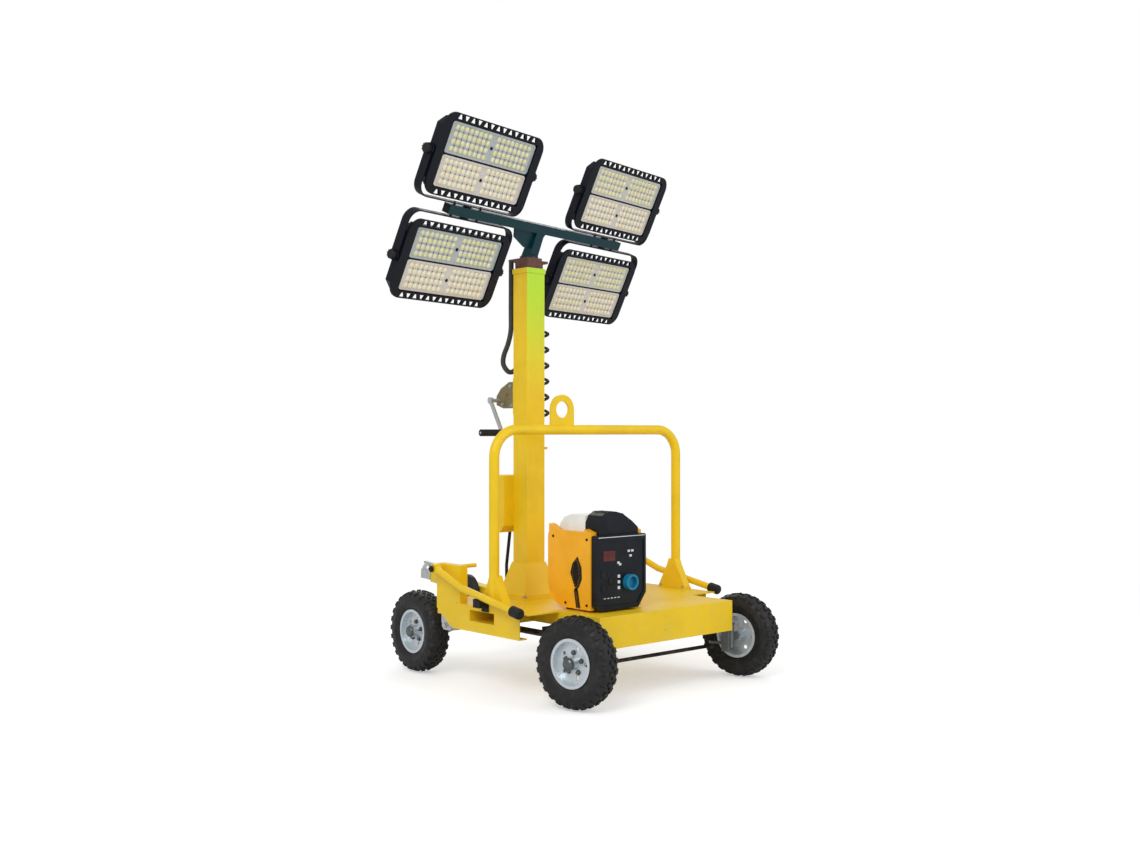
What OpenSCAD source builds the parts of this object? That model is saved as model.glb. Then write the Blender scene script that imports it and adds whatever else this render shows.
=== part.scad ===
// Mobile light tower: a hand-moved four-wheel cart with a telescopic mast and four LED floodlights.
// Working axes: x forward from the rear axle, y to the left of the cart's centreline, z up from the ground.

/* [Origin] */
// Distance of the model's origin ahead of the rear axle
origin_x = 321; // [280:1:340]
// Distance of the model's origin to the right of the cart's centreline
origin_off = 170; // [140:1:200]

/* [Wheels] */
// Distance between the rear and front axles
wheelbase = 1210; // [1195:5:1300]
// Half the distance between the tyre centres of an axle
half_track = 545; // [543:1:570]
// Outer radius of the tyre
tyre_r = 205; // [195:1:208]
// Widest part of the tyre
tyre_w = 112; // [100:1:114]
// Radius of the rim's flange
rim_r = 109; // [100:1:118]
// Width of the rim between the outsides of its flanges
rim_w = 92; // [80:1:96]
// Radius of the stub axle
stub_r = 14; // [10:1:18]
// Steering angle at which the front wheels stand
steer_rest = 10; // [0:1:12]
// Extra steering angle of the left front wheel
steer_extra = 1; // [0:0.5:2]
// Distance from the cart's centreline to each kingpin
kingpin_y = 455; // [450:1:460]

/* [Chassis] */
// Height of the top of the deck above the ground
deck_z = 388; // [380:1:420]
// Thickness of the deck sheet and of the folded plates
sheet = 5; // [4:1:8]
// Rear end of the wide platform
wide_x0 = 243; // [230:1:260]
// Room between the wide platform's front end and the front tyres
wheel_room = 45; // [35:1:80]
// Half width of the wide platform
wide_hw = 605; // [600:1:610]
// Half width of the deck between the front wheels
nose_hw = 428; // [410:1:430]
// Distance of the deck's front face ahead of the front axle
nose_over = 35; // [30:1:50]
// Height of the front apron
apron_h = 146; // [120:1:160]
// Height of the deck's other folded edges
edge_h = 60; // [50:1:70]
// Height of the side plates
side_h = 122; // [115:1:130]
// Distance of the side plates' front end behind the wide platform's front end
side_in = 62; // [50:1:120]
// Height and width of the chassis channels
rail_h = 60; // [55:1:64]
// Distance from the centreline to the middle of each lengthwise rail
rail_y = 400; // [360:1:400]
// Width of the lengthwise rails and crosswise channels
rail_w = 40; // [30:1:44]
// Rear inner face of the cross sleeve for lifting forks
sleeve_x = 517; // [500:1:540]
// Width inside the cross sleeve
sleeve_w = 192; // [150:1:200]
// Height inside the cross sleeve
sleeve_h = 51; // [45:1:56]
// Wall thickness of the cross sleeve
sleeve_wall = 4; // [3:1:5]
// Height of the rear posts above the deck
post_h = 180; // [170:1:200]
// Length of the rear posts along the cart
post_l = 194; // [160:1:200]
// Depth of the rear posts across the cart
post_d = 44; // [30:1:60]

/* [Loop frame] */
// Distance of the loop ahead of the rear axle
loop_x = 690; // [660:1:700]
// Half width between the leg centres
loop_hw = 590; // [560:1:590]
// Height of the top tube's centre
loop_z = 1217; // [1150:1:1300]
// Diameter of the loop's tube
loop_d = 48; // [42:1:50]
// Bend radius at the two upper corners
loop_bend = 130; // [80:1:140]
// Length of the foot plates
foot_l = 200; // [160:1:220]
// Height of the gussets on the feet
gusset_h = 145; // [100:1:160]
// Radius of the hole in the lifting eye
eye_hole_r = 40; // [30:1:44]
// Outer radius of the lifting eye
eye_r = 72; // [60:1:80]
// Thickness of the lifting eye
eye_t = 12; // [10:1:20]
// Height of the eye's hole above the top of the loop
eye_rise = 74; // [70:1:90]

/* [Handles] */
// Diameter of the handle tube
handle_d = 34; // [28:1:36]
// Distance from the centreline to each handle tube
handle_y = 640; // [638:1:645]
// Diameter of the handle's hinge pin
pin_d = 20; // [16:1:24]
// Distance of the handle's pivot ahead of the post's rear face
pivot_in = 42; // [36:1:60]
// Distance of the handle's bend ahead of the pivot
bend_run = 220; // [180:5:260]
// Fall of the handle from the pivot to the bend
bend_fall = 76; // [60:1:90]
// Distance of the handle's front end ahead of the pivot
tip_run = 610; // [580:5:620]
// Fall of the handle from the pivot to its front end
tip_fall = 143; // [130:1:146]
// Length of the black end cap
cap_l = 62; // [50:1:80]
// Radius of the black end cap
cap_r = 25; // [21:1:26]

/* [Mast] */
// Distance of the mast's axis ahead of the rear axle
mast_x = 432; // [425:1:445]
// Distance of the mast's axis to the right of the centreline
mast_off = 185; // [170:1:200]
// Outer width of the fixed mast tube
mast_w = 110; // [100:1:116]
// Wall thickness of both mast tubes
mast_wall = 5; // [4:1:6]
// Height of the top of the fixed mast tube
mast_top = 2020; // [1900:5:2100]
// Clearance between the fixed and the moving mast tube
mast_gap = 4; // [2:0.5:6]
// Height of the moving tube that shows above the fixed one
inner_show = 52; // [45:1:80]
// Height of the lower end of the moving tube
inner_z0 = 470; // [440:5:520]
// Height of the mast's flared foot
flare_h = 170; // [120:5:200]
// Width of the flared foot at the deck
flare_w = 212; // [180:2:214]

/* [Winch] */
// Height of the winch drum's axis
winch_z = 1395; // [1350:5:1450]
// Distance of the winch drum's axis behind the mast's rear face
winch_out = 66; // [60:1:80]
// Length of the crank's arm
crank_l = 190; // [150:5:200]
// Angle at which the crank's arm hangs, below the forward direction
crank_hang = 59; // [0:1:90]
// Length of the crank's grip
grip_l = 125; // [90:5:140]

/* [Control box] */
// Height of the lower end of the control box
box_z = 705; // [680:5:800]
// Height of the control box
box_h = 285; // [240:5:320]
// Depth of the control box behind the mast
box_d = 122; // [100:2:126]
// Width of the control box across the cart
box_w = 190; // [150:2:200]
// Distance of the control box's middle to the right of the mast's axis
box_off = 20; // [0:1:40]

/* [Head] */
// Angle by which the head is turned towards the left
head_turn = 14; // [0:1:30]
// Angle by which the lamp frame leans forward
head_lean = 25; // [0:1:30]
// Height of the crossbar's axis above the fixed mast tube
bar_rise = 190; // [180:1:200]
// Distance of the crossbar's axis ahead of the mast's axis
bar_out = 62; // [50:1:70]
// Width of the crossbar's square tube
bar_w = 44; // [40:1:48]
// Distance from the head's centre up to the crossbar's axis
bar_up = 8; // [0:1:12]
// Length of the crossbar
bar_l = 1370; // [1280:10:1400]
// Distance that the plate under the crossbar reaches to the right of the head's centre
head_plate_w = 185; // [150:5:187]

/* [Lamps] */
// Distance from the head's centre to each lamp's centre along the bar
lamp_off = 554; // [550:1:600]
// Distance from the bar's axis to each lamp's pivot
lamp_rise = 244; // [242:1:260]
// Width of a lamp's frame
lamp_w = 690; // [620:5:700]
// Height of a lamp's frame
lamp_h = 372; // [350:2:376]
// Distance of a lamp's front face ahead of its pivot
lamp_front = 31; // [28:1:36]
// Thickness of a lamp's front frame
bezel_t = 10; // [8:1:14]
// Depth of a lamp's housing with its front frame
housing_d = 44; // [38:1:50]
// Height of the cooling fins on a lamp's back
fin_h = 24; // [16:1:30]
// Corner radius of a lamp's frame
lamp_corner = 66; // [40:1:80]
// Width of the glass
glass_w = 588; // [500:2:600]
// Height of the glass
glass_h = 304; // [260:2:304]
// Thickness of the glass
glass_t = 8; // [5:1:10]
// Slots in each row of vents
vent_count = 13; // [8:1:18]
// Thickness of the yoke's strap
yoke_t = 6; // [5:1:8]
// Width of the yoke's strap
yoke_w = 42; // [30:1:50]
// Outer radius of the yoke's bends
yoke_bend = 62; // [50:1:80]
// Diameter of the lamp's pivot bolt
bolt_d = 12; // [8:1:16]

/* [Generator] */
// Length of the generator
gen_l = 345; // [320:5:360]
// Width of the generator
gen_w = 312; // [280:2:320]
// Height of the generator's shell
gen_h = 352; // [320:2:380]
// Distance of the generator's front face behind the deck's front face
gen_inset = 100; // [80:5:120]
// Distance of the generator's middle to the right of the centreline
gen_off = 204; // [180:1:230]
// Thickness of the dark control panel
panel_t = 40; // [30:1:60]
// Corner radius of the generator's shell
gen_corner = 30; // [20:1:50]
// Radius of the shell's lower rear corner
gen_curve = 120; // [80:5:140]
// Height of the rubber feet
gen_foot = 10; // [6:1:14]

/* [Drawbar] */
// Distance of the drawbar's hinge behind the platform
hinge_back = 43; // [40:1:50]
// Length of the drawbar from its hinge to the coupling's socket
draw_l = 946; // [900:2:960]
// Height of the drawbar's hinge
draw_z = 302; // [300:1:308]
// Height of the coupling above the drawbar's hinge
draw_rise = 84; // [70:1:90]
// Width of the drawbar's square tube
draw_w = 60; // [50:1:60]
// Radius of the coupling's socket
socket_r = 25; // [24:0.5:26]
// Radius of the jockey wheel
jockey_r = 85; // [70:1:90]
// Distance of the jockey wheel behind the drawbar's hinge
jockey_back = 467; // [440:1:480]

/* [Hidden] */
$fn = 48;

yellow = [0.92, 0.76, 0.12];
zinc = [0.68, 0.71, 0.72];
black = [0.05, 0.05, 0.06];
teal = [0.08, 0.27, 0.29];

// Side A is the right-hand side, at negative y, and side B the left-hand side.
A = -1;
B = 1;

// Small clearances: fit between a pin and its hole, seat between pieces that only rest on each other
run_gap = 0.4;
seat_gap = 0.3;

wide_x1 = wheelbase - tyre_r - wheel_room;
nose_x = wheelbase + nose_over;
side_x1 = wide_x1 - side_in;
under_deck = deck_z - sheet;
rail_z = under_deck - rail_h;
side_bottom = under_deck - (side_h - sheet);
axle_z = tyre_r;
pivot_x = wide_x0 + pivot_in;
pivot_z = deck_z + post_h - 22;
sleeve_z = under_deck - 16 - sleeve_h;
hinge_x = wide_x0 - hinge_back;
inner_w = mast_w - 2 * mast_wall - 2 * mast_gap;
mast_rear = mast_x - mast_w / 2;
head_z = mast_top + inner_show;

// Places everything from the working axes into the model's own frame.
module placed() {
    translate([-origin_x, origin_off, 0]) children();
}

// A box given by its two opposite corners.
module block(low, high) {
    translate(low) cube(high - low);
}

// A cylinder along y, from y0 to y1.
module rod_y(x, z, y0, y1, r) {
    translate([x, min(y0, y1), z]) rotate([-90, 0, 0]) cylinder(r = r, h = abs(y1 - y0));
}

// A profile drawn in x and z, extruded along y from y0 to y1.
module profile_y(y0, y1) {
    translate([0, max(y0, y1), 0]) rotate([90, 0, 0]) linear_extrude(abs(y1 - y0)) children();
}

// A rectangle with round corners, given by two opposite corners.
module round_rect(low, high, r) {
    translate([low[0] + r, low[1]]) square([high[0] - low[0] - 2 * r, high[1] - low[1]]);
    translate([low[0], low[1] + r]) square([high[0] - low[0], high[1] - low[1] - 2 * r]);
    for (x = [low[0] + r, high[0] - r], y = [low[1] + r, high[1] - r]) translate([x, y]) circle(r);
}

function unit(v) = v / norm(v);
function bend_angle(a, b, c) = acos(unit(a - b) * unit(c - b));
function tangent_length(a, b, c, r) = r / tan(bend_angle(a, b, c) / 2);

// A round bar in the plane z = 0 from p to q.
module bar_run(p, q, d) {
    v = q - p;
    translate([p[0], p[1], 0]) rotate([0, 0, atan2(v[1], v[0])]) rotate([0, 90, 0])
        cylinder(d = d, h = norm(v));
}

// The round corner at b of a bar that runs from a to b to c.
module bar_bend(a, b, c, r, d) {
    u = unit(a - b);
    w = unit(c - b);
    middle = b + unit(u + w) * (r / sin(bend_angle(a, b, c) / 2));
    t = tangent_length(a, b, c, r);
    s = b + u * t - middle;
    e = b + w * t - middle;
    a0 = atan2(s[1], s[0]);
    sweep = (atan2(e[1], e[0]) - a0 + 540) % 360 - 180;
    start = sweep < 0 ? a0 + sweep : a0;
    translate([middle[0], middle[1], 0]) rotate([0, 0, start])
        rotate_extrude(angle = abs(sweep)) translate([r, 0]) circle(d = d);
}

// A round bar with slight kinks through a list of points in the plane z = 0, a ball at each kink.
module kinked_bar(path, d) {
    for (i = [0 : len(path) - 2]) bar_run(path[i], path[i + 1], d);
    for (i = [1 : len(path) - 2]) translate([path[i][0], path[i][1], 0]) sphere(d = d);
}

// A bent round bar through a list of points in the plane z = 0.
module bent_bar(path, r, d) {
    n = len(path) - 1;
    for (i = [0 : n - 1]) {
        head = i == 0 ? 0 : tangent_length(path[i - 1], path[i], path[i + 1], r);
        tail = i == n - 1 ? 0 : tangent_length(path[i], path[i + 1], path[i + 2], r);
        along = unit(path[i + 1] - path[i]);
        bar_run(path[i] + along * head, path[i + 1] - along * tail, d);
    }
    for (i = [1 : 1 : n - 1]) bar_bend(path[i - 1], path[i], path[i + 1], r, d);
}

// The front wheels' steering frame on side s: its origin on the kingpin at axle height.
module steered(s) {
    angle = s == A ? steer_rest : steer_rest + steer_extra;
    translate([wheelbase, s * kingpin_y, axle_z]) rotate([0, 0, angle]) children();
}

// Wheels

bead_r = rim_r - 8;
flange_t = 4;

module tyre() {
    color(black) rotate([90, 0, 0]) rotate_extrude($fn = 96) {
        round_rect([rim_r + 1, -tyre_w / 2], [tyre_r, tyre_w / 2], 34);
        translate([bead_r + seat_gap, -rim_w / 2 + flange_t + 1]) square([24, rim_w - 2 * flange_t - 2]);
    }
}

// The rim's dished face is on the side s.
module rim(s) {
    hub_r = 30;
    face_y = 14;
    color(zinc) rotate([90, 0, 0]) scale([1, 1, -s]) difference() {
        rotate_extrude($fn = 96) {
            translate([bead_r - 5, -rim_w / 2]) square([5, rim_w]);
            for (y = [-rim_w / 2, rim_w / 2 - flange_t]) translate([bead_r - 5, y])
                square([rim_r - bead_r + 5, flange_t]);
            translate([stub_r + run_gap, face_y]) square([bead_r - stub_r - 4, 5]);
            translate([stub_r + run_gap, -36]) square([hub_r - stub_r - run_gap, 82]);
        }
        for (i = [0 : 4]) rotate([0, 0, 72 * i]) translate([66, 0, face_y - 2]) cylinder(r = 9, h = 12);
    }
}

module rear_wheel_place(s) {
    translate([0, s * half_track, axle_z]) children();
}

module front_wheel_place(s) {
    steered(s) translate([0, s * (half_track - kingpin_y), 0]) children();
}

// Chassis

module deck() {
    color(yellow) placed() {
        translate([0, 0, under_deck]) linear_extrude(sheet) {
            translate([wide_x0, -wide_hw]) square([wide_x1 - wide_x0, 2 * wide_hw]);
            translate([wide_x1 - 1, -nose_hw]) square([nose_x - wide_x1 + 1, 2 * nose_hw]);
        }
        block([nose_x - sheet, -nose_hw, deck_z - apron_h], [nose_x, nose_hw, deck_z]);
        for (s = [A, B]) {
            y0 = s == A ? -nose_hw : nose_hw - sheet;
            block([wide_x1, y0, deck_z - edge_h], [nose_x, y0 + sheet, deck_z]);
        }
    }
}

module side_plates() {
    color(yellow) placed() for (s = [A, B]) {
        difference() {
            profile_y(s * wide_hw, s * (wide_hw - sheet)) polygon([
                [wide_x0, under_deck], [wide_x0, under_deck - 31], [wide_x0 + 129, side_bottom],
                [side_x1, side_bottom], [side_x1, under_deck]
            ]);
            profile_y(s * (wide_hw + 1), s * (wide_hw - sheet - 1)) translate([sleeve_x, sleeve_z])
                square([sleeve_w, sleeve_h]);
        }
        y0 = s == A ? -wide_hw + sheet : wide_hw - sheet - 40;
        block([wide_x0 + 129, y0, side_bottom], [side_x1, y0 + 40, side_bottom + sheet]);
    }
}

module chassis_rails() {
    ear_t = 8;
    inside = wide_hw - sheet;
    front_rail_x = sleeve_x + sleeve_w + sleeve_wall;
    color(yellow) placed() {
        for (s = [A, B]) {
            block([wide_x0, s * rail_y - rail_w / 2, rail_z],
                [sleeve_x - sleeve_wall, s * rail_y + rail_w / 2, under_deck]);
            block([front_rail_x, s * rail_y - rail_w / 2, rail_z],
                [nose_x - sheet, s * rail_y + rail_w / 2, under_deck]);
            y0 = s == A ? -draw_w / 2 - 2 - ear_t : draw_w / 2 + 2;
            block([hinge_x - 18, y0, draw_z - 18], [wide_x0 + 1, y0 + ear_t, under_deck]);
        }
        for (x = [wide_x0, sleeve_x - sleeve_wall - rail_w, front_rail_x])
            block([x, -inside, rail_z], [x + rail_w, inside, under_deck]);
        block([wide_x1 - sheet - rail_w, -rail_y, rail_z], [wide_x1 - sheet, rail_y, under_deck]);
        rod_y(hinge_x, draw_z, -draw_w / 2 - 12, draw_w / 2 + 12, 8);
    }
}

module fork_sleeve() {
    inside = wide_hw - sheet;
    color(yellow) placed() difference() {
        block([sleeve_x - sleeve_wall, -inside, sleeve_z - sleeve_wall],
              [sleeve_x + sleeve_w + sleeve_wall, inside, sleeve_z + sleeve_h + sleeve_wall]);
        block([sleeve_x, -inside - 1, sleeve_z], [sleeve_x + sleeve_w, inside + 1, sleeve_z + sleeve_h]);
    }
}

module rear_posts() {
    top = deck_z + post_h;
    color(yellow) placed() for (s = [A, B]) {
        y0 = s == A ? -wide_hw : wide_hw - sheet;
        yi = s == A ? -wide_hw : wide_hw - post_d;
        block([wide_x0, y0, deck_z], [wide_x0 + post_l, y0 + sheet, top]);
        for (x = [wide_x0, wide_x0 + post_l - sheet]) block([x, yi, deck_z], [x + sheet, yi + post_d, top]);
        block([wide_x0, yi, top - sheet], [wide_x0 + post_l, yi + post_d, top]);
        rod_y(pivot_x, pivot_z, s * (wide_hw - 200), s * (handle_y + 22), pin_d / 2);
    }
}

// Height of the handle's lower side above the ground, at the distance x ahead of the rear axle
function handle_under(x) =
    pivot_z - bend_fall - (tip_fall - bend_fall) * (x - pivot_x - bend_run) / (tip_run - bend_run)
        - handle_d / 2 * 1.014;

module handle_rests() {
    rest_x = 620;
    rest_l = 50;
    tab_z = sleeve_z + sleeve_h + sleeve_wall;
    color(black) placed() for (s = [A, B]) {
        profile_y(s * wide_hw, s * (handle_y + 20)) polygon([
            [rest_x, deck_z + 6], [rest_x + rest_l, deck_z + 6],
            [rest_x + rest_l, handle_under(rest_x + rest_l) - seat_gap],
            [rest_x, handle_under(rest_x) - seat_gap]
        ]);
        profile_y(s * wide_hw, s * (wide_hw + 6)) polygon([
            [rest_x, tab_z], [rest_x + rest_l, tab_z], [rest_x + rest_l, deck_z + 8], [rest_x, deck_z + 8]
        ]);
    }
}

// Rods along the underside of the deck, in hangers below the crosswise channels
module under_rods() {
    rod_z = rail_z - 38;
    rods = [[-440, 8], [-480, 12]];
    rear = sleeve_x - sleeve_wall - rail_w / 2 - 5;
    front = wide_x1 - sheet - rail_w / 2 - 5;
    color(black) placed() {
        for (rod = rods) translate([rear - 20, rod[0], rod_z]) rotate([0, 90, 0])
            cylinder(r = rod[1], h = front - rear + 44);
        for (x = [rear, front]) block([x, -500, rod_z - 16], [x + 10, -rail_y - 4, rail_z]);
    }
}

module rear_axle() {
    beam = 40;
    end_y = 425;
    pad = 22;
    bumper_z = draw_z + (hinge_x - pad) * tan(draw_tilt) - draw_w / 2 / cos(draw_tilt) - seat_gap;
    hanger_x = wide_x0 + 170;
    ear_x = wide_x0 + 62;
    ear_z = rail_z - 52;
    color(zinc) placed() {
        block([-beam / 2, -end_y, axle_z - beam / 2], [beam / 2, end_y, axle_z + beam / 2]);
        for (s = [A, B]) {
            rod_y(0, axle_z, s * (end_y - 10), s * (half_track + 40), stub_r);
            rod_y(0, axle_z, s * (half_track + 46 + seat_gap), s * (half_track + 54), stub_r + 8);
            rod_y(0, axle_z, s * (half_track + 38), s * (half_track + 50), stub_r - 3);
            profile_y(s * (rail_y - 8), s * (rail_y + 8)) polygon([
                [-34, axle_z - 24], [34, axle_z - 24], [hanger_x, rail_z], [wide_x0, rail_z],
                [60, axle_z + 58], [-34, axle_z + 26]
            ]);
            rod_y(ear_x, ear_z, s * rail_y, s * (wide_hw + 4), 13);
            for (y = [wide_hw - 44, wide_hw - 12]) profile_y(s * y, s * (y - 8)) polygon([
                [ear_x - 40, ear_z + 14], [ear_x - 24, ear_z - 24], [ear_x + 30, ear_z - 24],
                [ear_x + 58, ear_z + 6], [ear_x + 58, rail_z], [ear_x - 40, rail_z]
            ]);
        }
        block([-pad, -22, axle_z + beam / 2 - 1], [pad, 22, bumper_z]);
    }
}

// The front axle's beam, its two hangers and the forked ends that hold the kingpins
module front_axle() {
    beam = 40;
    fork_z = 58;
    lug = 10;
    pin_r = 8;
    end_y = kingpin_y - 38;
    beam_z = axle_z + fork_z;
    color(zinc) placed() {
        block([wheelbase - beam / 2, -end_y, beam_z], [wheelbase + beam / 2, end_y, beam_z + beam]);
        for (s = [A, B]) {
            block([wheelbase - 26, s * rail_y - rail_w / 2, beam_z + beam - 1],
                  [wheelbase + 26, s * rail_y + rail_w / 2, rail_z]);
            y0 = s == A ? -end_y - 6 : end_y - 6;
            block([wheelbase - 22, y0, axle_z - fork_z - lug], [wheelbase + 22, y0 + 12, beam_z + beam]);
            for (z = [axle_z - fork_z - lug, axle_z + fork_z]) translate([wheelbase, s * kingpin_y, z]) {
                cylinder(r = 20, h = lug);
                block([-20, s == A ? 0 : -40, 0], [20, s == A ? 40 : 0, lug]);
            }
            translate([wheelbase, s * kingpin_y, axle_z - fork_z - lug])
                cylinder(r = pin_r, h = 2 * (fork_z + lug));
        }
    }
}

arm_back = 105;
arm_in = 12;
arm_z = -34;

// A steering knuckle: barrel on the kingpin, stub axle and steering arm, as drawn for side s
module knuckle(s) {
    barrel_h = 55;
    reach = half_track - kingpin_y;
    color(zinc) placed() steered(s) difference() {
        union() {
            translate([0, 0, -barrel_h]) cylinder(r = 17, h = 2 * barrel_h);
            rod_y(0, 0, 0, s * (reach + 40), stub_r);
            rod_y(0, 0, s * 12, s * 44, stub_r + 6);
            rod_y(0, 0, s * (reach + 38), s * (reach + 50), stub_r - 3);
            rod_y(0, 0, s * (reach + 46 + seat_gap), s * (reach + 54), stub_r + 8);
            translate([0, 0, arm_z - 6]) linear_extrude(12) polygon([
                [10, -s * 14], [-arm_back, -s * (arm_in + 14)], [-arm_back - 14, -s * arm_in],
                [-arm_back, -s * (arm_in - 14)], [0, s * 14]
            ]);
        }
        translate([0, 0, -barrel_h - 1]) cylinder(r = 8 + run_gap, h = 2 * barrel_h + 2);
    }
}

module knuckle_a() { knuckle(A); }
module knuckle_b() { knuckle(B); }

// Place of a steering arm's end, from its angle
function arm_end(s, angle) = [
    wheelbase - arm_back * cos(angle) + s * arm_in * sin(angle),
    s * kingpin_y - arm_back * sin(angle) - s * arm_in * cos(angle)
];

module tie_rod() {
    a = arm_end(A, steer_rest);
    b = arm_end(B, steer_rest + steer_extra);
    top = axle_z + arm_z - 6 - seat_gap;
    color(zinc) placed() translate([0, 0, top - 12]) {
        bar_run(a, b, 18);
        for (p = [a, b]) translate([p[0], p[1], -12]) cylinder(r = 13, h = 24);
    }
}

// Loop frame

module loop_frame() {
    foot_z = 8;
    foot_in = 34;
    foot_out = wide_hw - loop_hw;
    base = deck_z + foot_z;
    color(yellow) placed() {
        translate([loop_x, 0, 0]) rotate([90, 0, 90]) bent_bar(
            [[-loop_hw, base], [-loop_hw, loop_z], [loop_hw, loop_z], [loop_hw, base]], loop_bend, loop_d);
        for (s = [A, B]) {
            y0 = s * (loop_hw - foot_in);
            y1 = s * (loop_hw + foot_out);
            block([loop_x - foot_l / 2, min(y0, y1), deck_z], [loop_x + foot_l / 2, max(y0, y1), base]);
            profile_y(y0 + s * 4, y1 - s * 3) polygon([
                [loop_x - foot_l / 2 + 6, base - 1], [loop_x - foot_l / 2 + 6, base + 8],
                [loop_x - 34, base + gusset_h - 30],
                [loop_x - 22, base + gusset_h], [loop_x + 22, base + gusset_h],
                [loop_x + 34, base + gusset_h - 30],
                [loop_x + foot_l / 2 - 6, base + 8], [loop_x + foot_l / 2 - 6, base - 1]
            ]);
        }
    }
}

module lifting_eye() {
    hole_z = loop_z + loop_d / 2 + eye_rise;
    color(yellow) placed() difference() {
        translate([loop_x - eye_t / 2, -mast_off, 0]) rotate([90, 0, 90]) linear_extrude(eye_t) {
            translate([-eye_r, loop_z]) square([2 * eye_r, hole_z - loop_z]);
            translate([0, hole_z]) circle(eye_r);
        }
        translate([loop_x - eye_t, -mast_off, hole_z]) rotate([0, 90, 0])
            cylinder(r = eye_hole_r, h = 2 * eye_t);
        rod_y(loop_x, loop_z, -mast_off - eye_r - 1, -mast_off + eye_r + 1, loop_d / 2);
    }
}

// Mast

module on_mast() {
    placed() translate([mast_x, -mast_off, 0]) children();
}

module square_tube(w, wall, z0, z1) {
    difference() {
        block([-w / 2, -w / 2, z0], [w / 2, w / 2, z1]);
        block([-w / 2 + wall, -w / 2 + wall, z0 - 1], [w / 2 - wall, w / 2 - wall, z1 + 1]);
    }
}

module mast_base() {
    plate = flare_w + 50;
    color(yellow) on_mast() {
        difference() {
            union() {
                block([-plate / 2, -plate / 2, deck_z], [plate / 2, plate / 2, deck_z + 10]);
                hull() {
                    block([-flare_w / 2, -flare_w / 2, deck_z + 9], [flare_w / 2, flare_w / 2, deck_z + 16]);
                    block([-mast_w / 2 - 5, -mast_w / 2 - 5, deck_z + flare_h - 1],
                          [mast_w / 2 + 5, mast_w / 2 + 5, deck_z + flare_h]);
                }
            }
            block([-mast_w / 2, -mast_w / 2, deck_z + 10], [mast_w / 2, mast_w / 2, deck_z + flare_h + 1]);
        }
    }
}

winch_half = 50;
coil_r = 45;
coil_x = -70;
coil_y = 130;
coil_z0 = 1130;
coil_z1 = 1775;
loom_d = 28;
loom_x = -mast_w / 2 - 38;

module mast_outer() {
    color(yellow) on_mast() {
        square_tube(mast_w, mast_wall, deck_z + 10, mast_top);
        block([-mast_w / 2 - 6, -winch_half - 4, winch_z - 100], [-mast_w / 2, winch_half + 4, winch_z + 78]);
        block([coil_x - 14, mast_w / 2 - 1, coil_z0 - 12],
            [-mast_w / 2 + 16, coil_y + 20, coil_z0 - seat_gap]);
    }
}

module mast_collar() {
    color(yellow) on_mast() square_tube(mast_w + 8, 4, mast_top - 26, mast_top - 2);
}

module mast_inner() {
    spigot_r = 28;
    color(zinc) on_mast() difference() {
        union() {
            square_tube(inner_w, mast_wall, inner_z0, head_z - 9);
            block([-inner_w / 2, -inner_w / 2, head_z - 10], [inner_w / 2, inner_w / 2, head_z]);
            block([coil_x - 14, inner_w / 2 - 1, head_z - 12], [-inner_w / 2 + 20, coil_y + 12, head_z]);
            block([coil_x - 8, coil_y - 8, coil_z1 + seat_gap], [coil_x + 8, coil_y + 8, head_z - 6]);
            block([loom_x - loom_d / 2, -inner_w / 2, head_z - 12], [-inner_w / 2 + 1, inner_w / 2, head_z]);
        }
        translate([0, 0, head_z - 12]) cylinder(r = spigot_r + run_gap, h = 14);
    }
}

// Winch on the rear face of the mast, with its crank on side A

crank_x = -mast_w / 2 - 126;
crank_z = winch_z - 30;
crank_out = winch_half + 46;
cheek_t = 4;

module winch_frame() {
    color(zinc) on_mast() difference() {
        union() {
            for (s = [A, B]) profile_y(s * (winch_half - cheek_t), s * winch_half) polygon([
                [-mast_w / 2 - 6, winch_z - 70], [-mast_w / 2 - 6, winch_z + 62],
                [-mast_w / 2 - 44, winch_z + 62],
                [-mast_w / 2 - 112, winch_z + 30], [-mast_w / 2 - 148, winch_z - 8],
                [-mast_w / 2 - 148, winch_z - 52],
                [-mast_w / 2 - 92, winch_z - 70]
            ]);
            block([-mast_w / 2 - 10, -winch_half, winch_z - 70], [-mast_w / 2 - 6, winch_half, winch_z + 62]);
            rod_y(-mast_w / 2 - 26, winch_z + 48, -winch_half, winch_half, 7);
        }
        rod_y(crank_x, crank_z, -winch_half - 1, winch_half + 1, 10 + run_gap);
        rod_y(-mast_w / 2 - winch_out, winch_z, -winch_half - 1, winch_half + 1, 9 + run_gap);
    }
}

module winch_drum() {
    inside = winch_half - cheek_t - 1;
    axis_x = -mast_w / 2 - winch_out;
    color(zinc) on_mast() {
        rod_y(axis_x, winch_z, -winch_half - 3, winch_half + 14, 9);
        rod_y(axis_x, winch_z, -inside, inside, 24);
        rod_y(axis_x, winch_z, winch_half + 3, winch_half + 9, 46);
        for (y = [-inside, inside - 4]) rod_y(axis_x, winch_z, y, y + 4, 38);
    }
}

module crank() {
    color(zinc) on_mast() translate([crank_x, 0, crank_z]) {
        rod_y(0, 0, -crank_out - 14, winch_half - cheek_t - 8, 10);
        rod_y(0, 0, -crank_out - 14, -crank_out, 17);
        rotate([0, crank_hang, 0]) {
            block([0, -crank_out - 12, -11], [crank_l, -crank_out - 4, 11]);
            rod_y(crank_l, 0, -crank_out - 12, -crank_out - 4, 14);
            rod_y(crank_l, 0, -crank_out - 16 - grip_l, -crank_out - 11, 6);
        }
    }
}

module crank_grip() {
    color(black) on_mast() translate([crank_x, 0, crank_z]) rotate([0, crank_hang, 0]) difference() {
        rod_y(crank_l, 0, -crank_out - 14 - grip_l, -crank_out - 14, 17);
        rod_y(crank_l, 0, -crank_out - 17 - grip_l, -crank_out - 13, 6 + run_gap);
    }
}

// Control box and cables

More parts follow.
